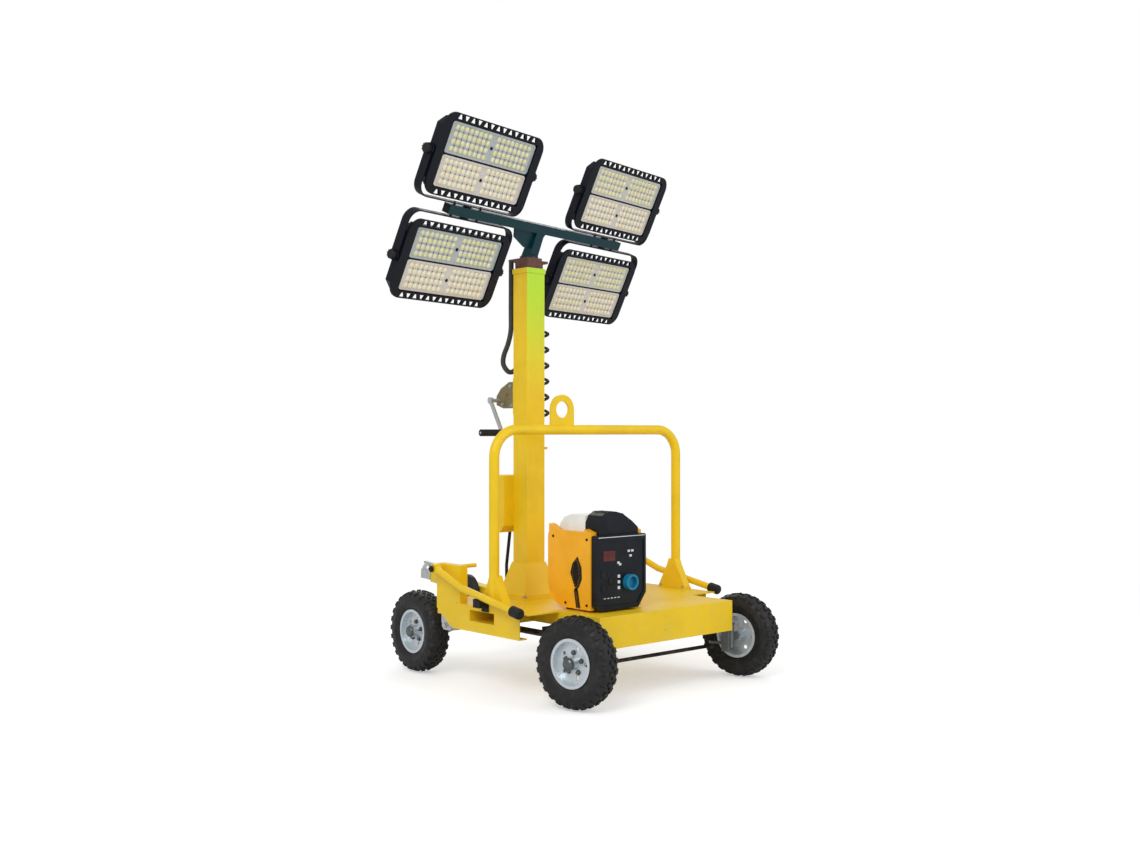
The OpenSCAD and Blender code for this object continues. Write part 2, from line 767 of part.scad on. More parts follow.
module control_box() {
    cut = 34;
    color(yellow) on_mast() profile_y(-box_off - box_w / 2, -box_off + box_w / 2) polygon([
        [-mast_w / 2, box_z + box_h], [-mast_w / 2 - box_d, box_z + box_h], [-mast_w / 2 - box_d, box_z],
        [-mast_w / 2 - cut, box_z], [-mast_w / 2, box_z + cut]
    ]);
}

module box_cable() {
    kink = [-mast_w / 2 - 90, box_z - 170];
    tilt_rise = 1.4;
    color(black) on_mast() translate([0, -30, 0]) rotate([90, 0, 0]) kinked_bar(
        [[-mast_w / 2 - 62, box_z - tilt_rise - seat_gap], kink, [kink[0], deck_z + seat_gap]], 16);
}

module cable_coil() {
    color(black) on_mast() translate([coil_x, coil_y, coil_z0]) cylinder(r = coil_r, h = coil_z1 - coil_z0);
}

// The braided lamp leads hang in a long bight behind the mast.
module lamp_loom() {
    low = winch_z + 130;
    top = head_z - 12 - seat_gap;
    color(black) on_mast() translate([loom_x, 0, 0]) rotate([90, 0, 90]) bent_bar(
        [[-40, top], [-40, low], [0, low], [0, top]], 19, loom_d);
}

// Generator

gen_z = deck_z + gen_foot;
gen_front = nose_x - gen_inset;
gen_back = gen_front - gen_l;

module on_generator() {
    placed() translate([0, -gen_off, 0]) children();
}

// Outline of the generator's shell in x and z, with a large curve at its lower rear corner
module shell_outline() {
    front = gen_front - panel_t;
    top = gen_z + gen_h;
    translate([gen_back, gen_z + gen_curve]) square([front - gen_back, gen_h - gen_curve - gen_corner]);
    translate([gen_back + gen_curve, gen_z]) square([front - gen_back - gen_curve, gen_curve]);
    translate([gen_back + gen_corner, top - gen_corner]) square([front - gen_back - gen_corner, gen_corner]);
    translate([gen_back + gen_corner, top - gen_corner]) circle(gen_corner);
    translate([gen_back + gen_curve, gen_z + gen_curve]) intersection() {
        circle(gen_curve);
        translate([-gen_curve, -gen_curve]) square(gen_curve + 1);
    }
}

// Outline of the recess in each side of the generator, in x and z from the recess's middle
module leaf_outline() {
    polygon([[-24, 4], [-14, 42], [10, 72], [28, 30], [30, -18], [16, -52], [2, -66], [-10, -34]]);
}

module generator_shell() {
    hw = gen_w / 2;
    top = gen_z + gen_h;
    ears = [[gen_back + 8, 64, 30], [gen_front - panel_t - 44, 44, 14]];
    color([0.95, 0.62, 0.08]) on_generator() difference() {
        union() {
            profile_y(-hw, hw) shell_outline();
            for (s = [A, B], e = ears) profile_y(s * hw, s * (hw - 34)) polygon([
                [e[0], top - gen_corner], [e[0], top + e[2]], [e[0] + 12, top + e[2] - 4],
                [e[0] + e[1], top], [e[0] + e[1], top - gen_corner]
            ]);
        }
        for (s = [A, B]) translate([gen_back + 196, 0, gen_z + 158]) {
            profile_y(s * (hw - 12), s * (hw + 1)) leaf_outline();
            profile_y(s * (hw - 12), s * (hw + 1)) polygon([[0, -64], [12, -64], [30, -150], [14, -150]]);
        }
    }
}

module generator_panel() {
    hw = gen_w / 2 - 6;
    top = gen_h - 14;
    color([0.05, 0.07, 0.12]) on_generator() difference() {
        translate([gen_front - panel_t, 0, gen_z]) rotate([90, 0, 90]) linear_extrude(panel_t)
            polygon([[-hw, 20], [-hw, top - 6], [-hw + 6, top], [hw - 6, top],
                [hw, top - 6], [hw, 66], [hw - 48, 0], [-hw + 20, 0]]);
        translate([gen_front - 4, 0, gen_z]) rotate([90, 0, 90]) linear_extrude(5)
            polygon([[-hw + 14, 34], [-hw + 14, top - 26], [hw - 14, top - 26],
                [hw - 14, 74], [hw - 54, 20], [-hw + 28, 20]]);
    }
}

hump_l = 118;

module generator_tank() {
    hw = gen_w / 2 - 36;
    top = gen_z + gen_h;
    color([0.93, 0.94, 0.92]) on_generator() profile_y(-hw, hw) polygon([
        [gen_back + 34, top], [gen_front - hump_l, top], [gen_front - hump_l, top + 74],
        [gen_back + 128, top + 76], [gen_back + 76, top + 60], [gen_back + 48, top + 30]
    ]);
}

module generator_trim() {
    hw = gen_w / 2 - 36;
    top = gen_z + gen_h;
    color(black) on_generator() {
        translate([gen_front - hump_l, 0, top]) rotate([90, 0, 90]) linear_extrude(hump_l - 22) polygon([
            [-hw, 0], [-hw, 40], [-hw + 18, 76], [-hw + 50, 92], [-18, 92], [22, 82],
            [84, 44], [hw, 14], [hw, 0]
        ]);
        translate([gen_front - panel_t, 0, top - 14]) rotate([90, 0, 90]) linear_extrude(panel_t - 22)
            polygon([[-hw, 0], [-hw, 15], [hw, 15], [hw, 0]]);
        for (x = [gen_back + gen_curve, gen_front - panel_t - 30], y = [-hw, hw])
            translate([x, y, deck_z]) cylinder(r = 18, h = gen_foot);
    }
}

module generator_socket() {
    color([0.10, 0.50, 0.65]) on_generator() translate([gen_front - 4, gen_w / 2 - 112, gen_z + 120])
        rotate([0, 90, 0]) difference() {
        cylinder(r = 36, h = 30);
        translate([0, 0, 12]) cylinder(r = 26, h = 19);
    }
}

// Handles

module handle(s) {
    path = [[pivot_x, pivot_z], [pivot_x + bend_run, pivot_z - bend_fall],
        [pivot_x + tip_run, pivot_z - tip_fall]];
    color(yellow) placed() difference() {
        union() {
            translate([0, s * handle_y, 0]) rotate([90, 0, 0]) kinked_bar(path, handle_d);
            rod_y(pivot_x, pivot_z, s * (handle_y - 16), s * (handle_y + 16), 24);
        }
        rod_y(pivot_x, pivot_z, s * (handle_y - 20), s * (handle_y + 20), pin_d / 2 + run_gap);
    }
}

module handle_cap(s) {
    fall = atan2(tip_fall - bend_fall, tip_run - bend_run);
    color(black) placed() translate([pivot_x + tip_run, s * handle_y, pivot_z - tip_fall])
        rotate([0, fall, 0]) rotate([0, 90, 0])
        rotate_extrude() {
            translate([0, 0]) square([cap_r, cap_l - 12]);
            square([cap_r - 12, cap_l]);
            translate([cap_r - 12, cap_l - 12]) intersection() {
                circle(12);
                square(12);
            }
        }
}

module handle_a() { handle(A); }
module handle_b() { handle(B); }
module handle_cap_a() { handle_cap(A); }
module handle_cap_b() { handle_cap(B); }

// Head: turntable, crossbar and the four yokes

module turned_head() {
    on_mast() translate([0, 0, head_z]) rotate([0, 0, head_turn]) children();
}

// The lamp frame's own axes: x out of the lamps, y along the bar, z up in the lamps' plane
module lamp_frame() {
    turned_head() translate([bar_out, 0, bar_rise - inner_show]) rotate([0, head_lean, 0]) children();
}

module head_bar() {
    color(teal) {
        turned_head() {
            translate([0, 0, -10]) cylinder(r = 28, h = 14);
            translate([0, 0, seat_gap]) cylinder(r = 46, h = 10);
            profile_y(-30, 30) polygon([
                [-30, 5], [30, 5], [bar_out + 16, bar_rise - inner_show - 10],
                [bar_out - 18, bar_rise - inner_show + 10]
            ]);
        }
        lamp_frame() {
            difference() {
                block([-bar_w / 2, -bar_l / 2, bar_up - bar_w / 2],
                    [bar_w / 2, bar_l / 2, bar_up + bar_w / 2]);
                for (s = [A, B])
                    block([-bar_w / 2 + 4, s * bar_l / 2 - 30, bar_up - bar_w / 2 + 4],
                          [bar_w / 2 - 4, s * bar_l / 2 + 30, bar_up + bar_w / 2 - 4]);
            }
            translate([-5, 0, 0]) rotate([90, 0, 90]) linear_extrude(10) polygon([
                [-head_plate_w, bar_up - bar_w / 2 + 1], [-head_plate_w + 20, -60], [-70, -100], [14, -100],
                [60, bar_up - bar_w / 2 + 1]
            ]);
        }
    }
}

// Lamps 1 and 2 stand above the bar and 3 and 4 hang below it; 1 and 3 are on side A.
lamp_table = [[A, 1], [B, 1], [A, -1], [B, -1]];
arm_gap = 7;

module lamp_place(i) {
    lamp_frame() translate([0, lamp_table[i][0] * lamp_off, lamp_table[i][1] * lamp_rise]) children();
}

// A bent strap in the plane x = 0: its two arms end at z = 0 and its middle lies at z = -strap_z.
module yoke_strap(strap_z) {
    hw = lamp_w / 2 + arm_gap + yoke_t;
    translate([-yoke_w / 2, 0, 0]) rotate([90, 0, 90]) linear_extrude(yoke_w) difference() {
        round_rect([-hw, -strap_z], [hw, 2 * yoke_bend], yoke_bend);
        round_rect([-hw + yoke_t, -strap_z + yoke_t], [hw - yoke_t, 3 * yoke_bend], yoke_bend - yoke_t);
        translate([-hw - 1, 0]) square([2 * hw + 2, 4 * yoke_bend]);
    }
}

module yokes() {
    arm_y = lamp_w / 2 + arm_gap;
    color(black) for (i = [0 : 3]) {
        up = lamp_table[i][1];
        strap_z = lamp_rise - bar_w / 2 - 8 - up * bar_up;
        lamp_place(i) scale([1, 1, up]) {
            difference() {
                union() {
                    yoke_strap(strap_z);
                    for (s = [A, B]) rod_y(0, 0, s * arm_y, s * (arm_y + yoke_t), yoke_w / 2 + 5);
                }
                rod_y(0, 0, -arm_y - yoke_t - 1, arm_y + yoke_t + 1, bolt_d / 2 + run_gap);
            }
            translate([0, 0, -strap_z - 8]) cylinder(r = 20, h = 9);
            for (y = [-90, 90]) translate([0, y, -strap_z - 8]) cylinder(r = 6, h = 8 + yoke_t + 3);
        }
    }
}

module lamp(i) {
    hw = lamp_w / 2;
    hh = lamp_h / 2;
    back = lamp_front - housing_d;
    housing_z = glass_h / 2 + 5;
    vent_pitch = (lamp_w - 2 * lamp_corner) / vent_count;
    strip = (lamp_h - glass_h) / 2;
    wide = vent_pitch * 0.41;
    slim = vent_pitch * 0.20;
    color([0.06, 0.08, 0.12]) lamp_place(i) {
        difference() {
            union() {
                translate([lamp_front - bezel_t, 0, 0]) rotate([90, 0, 90]) linear_extrude(bezel_t)
                    round_rect([-hw, -hh], [hw, hh], lamp_corner);
                translate([back, 0, 0]) rotate([90, 0, 90]) linear_extrude(housing_d - bezel_t + 1)
                    polygon([[-hw, -hh + lamp_corner], [-hw + 40, -housing_z],
                        [hw - 40, -housing_z], [hw, -hh + lamp_corner],
                             [hw, hh - lamp_corner], [hw - 40, housing_z],
                             [-hw + 40, housing_z], [-hw, hh - lamp_corner]]);
            }
            block([lamp_front - glass_t - 3, -glass_w / 2 - seat_gap, -glass_h / 2 - seat_gap],
                  [lamp_front + 1, glass_w / 2 + seat_gap, glass_h / 2 + seat_gap]);
            for (k = [0 : vent_count - 1], z = [-hh + strip / 2 - 1, hh - strip / 2 + 1]) {
                lean = k % 2 == 0 ? 1 : -1;
                low = lean > 0 ? wide : slim;
                high = lean > 0 ? slim : wide;
                translate([lamp_front - bezel_t - 1, -hw + lamp_corner + (k + 0.5) * vent_pitch, z])
                    rotate([90, 0, 90])
                    linear_extrude(bezel_t + 2) polygon([
                        [-low, -strip * 0.30], [low, -strip * 0.30], [high, strip * 0.30],
                        [-high, strip * 0.30]
                    ]);
            }
        }
        for (k = [5 : 12], s = [A, B])
            block([back - fin_h, s * k * 22 - 1.5, -124], [back + 1, s * k * 22 + 1.5, 124]);
        block([back - fin_h - 4, -96, -70], [back + 1, 96, 70]);
        for (s = [A, B]) {
            rod_y(0, 0, s * (hw - 2), s * (hw + arm_gap - 1), 15);
            rod_y(0, 0, s * (hw - 2), s * (hw + arm_gap + yoke_t + 10), bolt_d / 2);
            rod_y(0, 0, s * (hw + arm_gap + yoke_t + 1), s * (hw + arm_gap + yoke_t + 20), 20);
        }
    }
}

module glass(i) {
    color([0.93, 0.90, 0.72]) lamp_place(i)
        block([lamp_front - glass_t - 3, -glass_w / 2, -glass_h / 2],
            [lamp_front - 3, glass_w / 2, glass_h / 2]);
}

module lamp_1() { lamp(0); }
module lamp_2() { lamp(1); }
module lamp_3() { lamp(2); }
module lamp_4() { lamp(3); }
module glass_1() { glass(0); }
module glass_2() { glass(1); }
module glass_3() { glass(2); }
module glass_4() { glass(3); }

module tyre_rear_a() { placed() rear_wheel_place(A) tyre(); }
module tyre_rear_b() { placed() rear_wheel_place(B) tyre(); }
module tyre_front_a() { placed() front_wheel_place(A) tyre(); }
module tyre_front_b() { placed() front_wheel_place(B) tyre(); }
module rim_rear_a() { placed() rear_wheel_place(A) rim(A); }
module rim_rear_b() { placed() rear_wheel_place(B) rim(B); }
module rim_front_a() { placed() front_wheel_place(A) rim(A); }
module rim_front_b() { placed() front_wheel_place(B) rim(B); }

// Drawbar: its own axes have x along the bar, away from the cart

draw_tilt = atan2(draw_rise, draw_l);

module on_drawbar() {
    placed() translate([hinge_x, 0, draw_z]) rotate([0, draw_tilt, 0]) scale([-1, 1, 1]) children();
}

socket_at = draw_l / cos(draw_tilt);

module drawbar() {
    tube_end = socket_at - 70;
    color(yellow) on_drawbar() difference() {
        union() {
            rod_y(0, 0, -draw_w / 2, draw_w / 2, 19);
            block([10, -draw_w / 2, -draw_w / 2], [tube_end, draw_w / 2, draw_w / 2]);
        }
        block([40, -draw_w / 2 + 4, -draw_w / 2 + 4], [tube_end + 1, draw_w / 2 - 4, draw_w / 2 - 4]);
        rod_y(0, 0, -draw_w / 2 - 1, draw_w / 2 + 1, 8 + run_gap);
    }
}

module coupling() {
    head_r = 42;
    color(zinc) on_drawbar() difference() {
        union() {
            block([socket_at - 190, -draw_w / 2 - 4, draw_w / 2],
                [socket_at - 60, draw_w / 2 + 4, draw_w / 2 + 6]);
            block([socket_at - 70, -34, -20], [socket_at - 20, 34, draw_w / 2 + 6]);
            translate([socket_at, 0, -20]) cylinder(r = head_r, h = 50);
            translate([socket_at, 0, 30]) sphere(r = 36);
            block([socket_at - 120, -9, draw_w / 2 + 4], [socket_at - 60, 9, draw_w / 2 + 30]);
            block([socket_at - 130, -11, draw_w / 2 + 28], [socket_at + 34, 11, draw_w / 2 + 42]);
        }
        translate([socket_at, 0, -21]) cylinder(r = socket_r, h = 41);
    }
}

jockey_y = -draw_w / 2 - 32;

module jockey_leg() {
    y = jockey_y;
    axle = jockey_back;
    crown = axle + jockey_r + 7;
    leg_l = 186;
    color(zinc) on_drawbar() {
        translate([crown + 4, y, 0]) rotate([0, 90, 0]) cylinder(r = 21, h = leg_l);
        block([axle + 200, y - 25, -24], [axle + 250, -draw_w / 2, 24]);
        for (s = [A, B]) {
            y0 = s == A ? y - 29 : y + 25;
            block([axle - 16, y0, -14], [crown + 4, y0 + 4, 14]);
        }
        block([crown, y - 29, -18], [crown + 8, y + 29, 18]);
        rod_y(axle, 0, y - 29, y + 29, 7);
    }
}

module jockey_wheel() {
    y = jockey_y;
    color(black) on_drawbar() translate([jockey_back, y, 0]) rotate([90, 0, 0]) rotate_extrude($fn = 72) {
        round_rect([jockey_r - 34, -20], [jockey_r, 20], 12);
        translate([7 + run_gap, -8]) square([jockey_r - 34, 16]);
        translate([7 + run_gap, -22]) square([14, 44]);
    }
}

deck();
side_plates();
chassis_rails();
fork_sleeve();
rear_posts();
handle_rests();
under_rods();
rear_axle();
front_axle();
knuckle_a();
knuckle_b();
tie_rod();
loop_frame();
lifting_eye();
mast_base();
mast_outer();
mast_collar();
mast_inner();
winch_frame();
winch_drum();
crank();
crank_grip();
control_box();
box_cable();
cable_coil();
lamp_loom();
generator_shell();
generator_panel();
generator_tank();
generator_trim();
generator_socket();
handle_a();
handle_cap_a();
handle_b();
handle_cap_b();
head_bar();
yokes();
lamp_1();
lamp_2();
lamp_3();
lamp_4();
glass_1();
glass_2();
glass_3();
glass_4();
tyre_rear_a();
tyre_rear_b();
tyre_front_a();
tyre_front_b();
rim_rear_a();
rim_rear_b();
rim_front_a();
rim_front_b();
drawbar();
coupling();
jockey_leg();
jockey_wheel();
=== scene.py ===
"""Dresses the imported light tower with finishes, tyres, lamp fields, cables and fittings, then sets floor, light and camera."""

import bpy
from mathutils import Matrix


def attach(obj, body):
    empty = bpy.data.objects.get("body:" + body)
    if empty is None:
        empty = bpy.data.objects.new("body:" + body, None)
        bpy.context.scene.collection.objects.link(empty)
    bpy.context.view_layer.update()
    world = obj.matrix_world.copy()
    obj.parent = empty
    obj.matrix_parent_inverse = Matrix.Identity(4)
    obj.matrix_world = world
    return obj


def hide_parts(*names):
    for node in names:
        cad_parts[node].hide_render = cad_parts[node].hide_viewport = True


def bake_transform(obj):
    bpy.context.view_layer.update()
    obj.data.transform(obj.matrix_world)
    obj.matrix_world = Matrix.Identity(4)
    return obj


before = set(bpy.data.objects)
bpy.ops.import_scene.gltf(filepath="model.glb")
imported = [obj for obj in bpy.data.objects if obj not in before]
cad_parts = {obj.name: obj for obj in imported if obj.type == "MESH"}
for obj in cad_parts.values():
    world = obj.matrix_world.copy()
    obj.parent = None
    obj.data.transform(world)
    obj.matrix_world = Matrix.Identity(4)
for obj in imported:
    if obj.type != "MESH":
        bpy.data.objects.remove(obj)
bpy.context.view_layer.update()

import logging
import math
from dataclasses import dataclass
from enum import Enum

import bmesh
import bpy
from mathutils import Matrix, Vector

LOG = logging.getLogger("light_tower")
Point = tuple[float, float, float]
Colour = tuple[float, float, float]
ORIGIN = Vector((-0.321, 0.170, 0.0))
MAST_AT = Vector((0.432, -0.185, 0.0))
HEAD_Z = 2.072


class Side(Enum):
    """The right-hand and left-hand sides of the cart."""

    A = -1
    B = 1


def place(x: float = 0.0, y: float = 0.0, z: float = 0.0) -> Matrix:
    """The move from the cart's working axes, at that point, into the frame."""
    return Matrix.Translation(ORIGIN + Vector((x, y, z)))


def turn(degrees: float, axis: str) -> Matrix:
    """A turn about one axis."""
    return Matrix.Rotation(math.radians(degrees), 4, axis)


def on_mast(z: float = 0.0) -> Matrix:
    """The mast's own axes, at a height above the ground."""
    return place(MAST_AT.x, MAST_AT.y, z)


def on_lamp(side: Side, row: int) -> Matrix:
    """The axes of one lamp: x out of its face, y along the crossbar and z up its face.

    Args:
        side: The side of the cart that the lamp is on.
        row: 1 above the crossbar, -1 below it.

    Returns:
        The matrix from the lamp's axes to the frame.
    """
    bar = on_mast(HEAD_Z) @ turn(14, "Z") @ Matrix.Translation((0.062, 0.0, 0.138)) @ turn(25, "Y")
    return bar @ Matrix.Translation((0.0, side.value * 0.554, row * 0.244))


# Finishes


class Graph:
    """A material's nodes, with short calls that add and join them."""

    def __init__(self, name: str) -> None:
        """Starts a material with its shader and the object's coordinates."""
        self.material = bpy.data.materials.new(name)
        self.material.use_nodes = True
        self.tree = self.material.node_tree
        self.shader = self.tree.nodes["Principled BSDF"]
        self.where = self.add("ShaderNodeTexCoord").outputs["Object"]

    def add(self, kind: str, **settings: object) -> bpy.types.Node:
        """A new node with some of its properties set."""
        node = self.tree.nodes.new(kind)
        for name, value in settings.items():
            setattr(node, name, value)
        return node

    def join(self, source: bpy.types.NodeSocket, target: bpy.types.NodeSocket) -> None:
        """Links an output to an input."""
        self.tree.links.new(source, target)

    def stretched(self, scale: Point) -> bpy.types.NodeSocket:
        """The object's coordinates, scaled along each axis."""
        node = self.add("ShaderNodeMapping")
        node.inputs["Scale"].default_value = scale
        self.join(self.where, node.inputs["Vector"])
        return node.outputs["Vector"]

    def noise(self, scale: float, detail: float = 3.0, source: bpy.types.NodeSocket | None = None) -> bpy.types.NodeSocket:
        """A noise value over the surface."""
        node = self.add("ShaderNodeTexNoise")
        node.inputs["Scale"].default_value = scale
        node.inputs["Detail"].default_value = detail
        self.join(source or self.where, node.inputs["Vector"])
        return node.outputs["Fac"]

    def span(self, source: bpy.types.NodeSocket, low: float, high: float, out_low: float, out_high: float) -> bpy.types.NodeSocket:
        """A value moved smoothly from one range to another and held at its ends."""
        node = self.add("ShaderNodeMapRange", interpolation_type="SMOOTHSTEP")
        for name, value in (("From Min", low), ("From Max", high), ("To Min", out_low), ("To Max", out_high)):
            node.inputs[name].default_value = value
        self.join(source, node.inputs["Value"])
        return node.outputs["Result"]

    def times(self, first: bpy.types.NodeSocket, second: bpy.types.NodeSocket) -> bpy.types.NodeSocket:
        """The product of two values."""
        node = self.add("ShaderNodeMath", operation="MULTIPLY")
        self.join(first, node.inputs[0])
        self.join(second, node.inputs[1])
        return node.outputs[0]

    def mix(self, factor: bpy.types.NodeSocket, first: object, second: object) -> bpy.types.NodeSocket:
        """A colour between two colours or sockets.

        Args:
            factor: 0 for the first and 1 for the second.
            first: A colour or a colour socket.
            second: A colour or a colour socket.

        Returns:
            The mixed colour.
        """
        node = self.add("ShaderNodeMix", data_type="RGBA")
        self.join(factor, node.inputs[0])
        for socket, value in ((node.inputs[6], first), (node.inputs[7], second)):
            if isinstance(value, bpy.types.NodeSocket):
                self.join(value, socket)
            else:
                socket.default_value = (*value, 1.0)
        return node.outputs[2]

    def axis(self, name: str, normal: bool = False) -> bpy.types.NodeSocket:
        """One part of the object's coordinates or of the surface normal."""
        node = self.add("ShaderNodeSeparateXYZ")
        source = self.add("ShaderNodeNewGeometry").outputs["Normal"] if normal else self.where
        self.join(source, node.inputs[0])
        return node.outputs[name]

    def bump(self, height: bpy.types.NodeSocket, distance: float, strength: float = 1.0) -> None:
        """Adds a height to the shader's normal, over any height added before."""
        node = self.add("ShaderNodeBump")
        node.inputs["Distance"].default_value = distance
        node.inputs["Strength"].default_value = strength
        self.join(height, node.inputs["Height"])
        if self.shader.inputs["Normal"].links:
            self.join(self.shader.inputs["Normal"].links[0].from_socket, node.inputs["Normal"])
        self.join(node.outputs["Normal"], self.shader.inputs["Normal"])

    def set(self, **values: object) -> None:
        """Sets constant sockets of the shader, with _ for a space in their names."""
        for name, value in values.items():
            self.shader.inputs[name.replace("_", " ")].default_value = value


@dataclass(frozen=True)
class Paint:
    """Powder coat on steel: slight cloudiness, orange peel, rubbed spots and dust near the ground."""

    name: str
    colour: Colour
    rough: float = 0.36
    cloud: float = 0.07
    dust: float = 0.12
    wear: Colour = (0.30, 0.29, 0.27)
    gloss: float = 0.35

    def make(self) -> bpy.types.Material:
        """The material of this paint."""
        g = Graph(self.name)
        darker = tuple(c * (1.0 - self.cloud) for c in self.colour)
        base = g.mix(g.span(g.noise(5.0), 0.35, 0.68, 0.0, 1.0), self.colour, darker)
        rub = g.times(g.span(g.noise(38.0, 6.0), 0.66, 0.72, 0.0, 0.55), g.span(g.noise(7.0), 0.55, 0.66, 0.0, 1.0))
        base = g.mix(rub, base, self.wear)
        dusty = g.times(g.span(g.axis("Z"), 0.05, 0.62, self.dust, 0.0), g.span(g.noise(22.0, 5.0), 0.40, 0.70, 0.0, 1.0))
        base = g.mix(dusty, base, (0.50, 0.44, 0.34))
        g.join(base, g.shader.inputs["Base Color"])
        g.join(g.span(g.noise(60.0, 4.0), 0.3, 0.7, self.rough - 0.05, self.rough + 0.09), g.shader.inputs["Roughness"])
        g.set(Specular_IOR_Level=self.gloss)
        g.bump(g.noise(420.0, 2.0), 0.00025, 0.5)
        return g.material


@dataclass(frozen=True)
class PaintWithPaintedLight:
    """The mast's yellow coat, with painted light on its front face: a lime-green cast near the top that turns to yellow
    lower down.
    """

    name: str
    colour: Colour
    painted_light_tint: Colour
    low: float
    high: float

    def make(self) -> bpy.types.Material:
        """The material of the mast's coat, with its painted light."""
        g = Graph(self.name)
        darker = tuple(c * 0.92 for c in self.colour)
        base = g.mix(g.span(g.noise(6.0), 0.35, 0.68, 0.0, 1.0), self.colour, darker)
        # painted light: faces looking along x get a lime-green cast between the heights low and high
        front = g.span(g.axis("X", normal=True), 0.4, 0.8, 0.0, 1.0)
        base = g.mix(g.times(front, g.span(g.axis("Z"), self.low, self.high, 0.0, 1.0)), base, self.painted_light_tint)
        streak = g.noise(9.0, 4.0, g.stretched((9.0, 9.0, 0.6)))
        base = g.mix(g.span(streak, 0.58, 0.72, 0.0, 0.18), base, (0.45, 0.34, 0.10))
        g.join(base, g.shader.inputs["Base Color"])
        g.join(g.span(g.noise(60.0, 4.0), 0.3, 0.7, 0.27, 0.40), g.shader.inputs["Roughness"])
        g.set(Specular_IOR_Level=0.35)
        g.bump(g.noise(420.0, 2.0), 0.00025, 0.5)
        return g.material


@dataclass(frozen=True)
class Plated:
    """Zinc plate or bare steel: soft patches of tone, fine brushing and dull spots."""

    name: str
    colour: Colour
    rough: float = 0.38
    metallic: float = 0.85
    stain: Colour = (0.36, 0.34, 0.30)
    dull: float = 0.35
    speckle: float = 0.07
    brush: float = 0.4

    def make(self) -> bpy.types.Material:
        """The material of this metal."""
        g = Graph(self.name)
        cells = g.add("ShaderNodeTexVoronoi")
        cells.inputs["Scale"].default_value = 90.0
        g.join(g.where, cells.inputs["Vector"])
        darker = tuple(c * (1.0 - self.speckle) for c in self.colour)
        base = g.mix(g.span(cells.outputs["Distance"], 0.1, 0.7, 0.0, 1.0), self.colour, darker)
        base = g.mix(g.span(g.noise(14.0, 6.0), 0.58, 0.80, 0.0, self.dull), base, self.stain)
        g.join(base, g.shader.inputs["Base Color"])
        g.join(g.span(g.noise(45.0, 5.0), 0.3, 0.7, self.rough - 0.08, self.rough + 0.14), g.shader.inputs["Roughness"])
        g.set(Metallic=self.metallic)
        g.bump(g.noise(300.0, 3.0, g.stretched((1.0, 1.0, 0.2))), 0.0002, self.brush)
        return g.material


@dataclass(frozen=True)
class Moulded:
    """Moulded plastic or rubber with a fine grain."""

    name: str
    colour: Colour
    rough: float = 0.45
    grain: float = 700.0
    depth: float = 0.0002
    dust: float = 0.0
    gloss: float = 0.4

    def make(self) -> bpy.types.Material:
        """The material of this moulding."""
        g = Graph(self.name)
        lighter = tuple(min(1.0, c * 1.12 + 0.004) for c in self.colour)
        base = g.mix(g.span(g.noise(12.0, 4.0), 0.35, 0.7, 0.0, 1.0), self.colour, lighter)
        if self.dust:
            dusty = g.span(g.noise(35.0, 6.0), 0.45, 0.72, 0.0, self.dust)
            base = g.mix(dusty, base, (0.30, 0.27, 0.22))
        g.join(base, g.shader.inputs["Base Color"])
        g.join(g.span(g.noise(80.0, 3.0), 0.3, 0.7, self.rough - 0.05, self.rough + 0.08), g.shader.inputs["Roughness"])
        g.set(Specular_IOR_Level=self.gloss)
        g.bump(g.noise(self.grain, 2.0), self.depth, 0.6)
        return g.material


@dataclass(frozen=True)
class Lens:
    """Clear resin over a pale yellow diode."""

    name: str
    deep: Colour
    pale: Colour

    def make(self) -> bpy.types.Material:
        """The material of the lenses."""
        g = Graph(self.name)
        g.join(g.mix(g.span(g.noise(30.0), 0.35, 0.65, 0.0, 1.0), self.deep, self.pale), g.shader.inputs["Base Color"])
        g.join(g.span(g.noise(90.0), 0.3, 0.7, 0.10, 0.20), g.shader.inputs["Roughness"])
        g.set(Coat_Weight=0.6, Coat_Roughness=0.05)
        return g.material


@dataclass(frozen=True)
class Braid:
    """A woven black sleeve round a bundle of leads."""

    name: str = "braided_sleeve"

    def make(self) -> bpy.types.Material:
        """The material of the sleeve."""
        g = Graph(self.name)
        weave = g.add("ShaderNodeTexWave", wave_type="BANDS", bands_direction="DIAGONAL")
        weave.inputs["Scale"].default_value = 55.0
        weave.inputs["Distortion"].default_value = 1.5
        g.join(g.where, weave.inputs["Vector"])
        g.join(g.mix(weave.outputs["Fac"], (0.012, 0.012, 0.014), (0.07, 0.07, 0.075)), g.shader.inputs["Base Color"])
        g.join(g.span(g.noise(50.0), 0.3, 0.7, 0.5, 0.7), g.shader.inputs["Roughness"])
        g.bump(weave.outputs["Fac"], 0.0012)
        return g.material


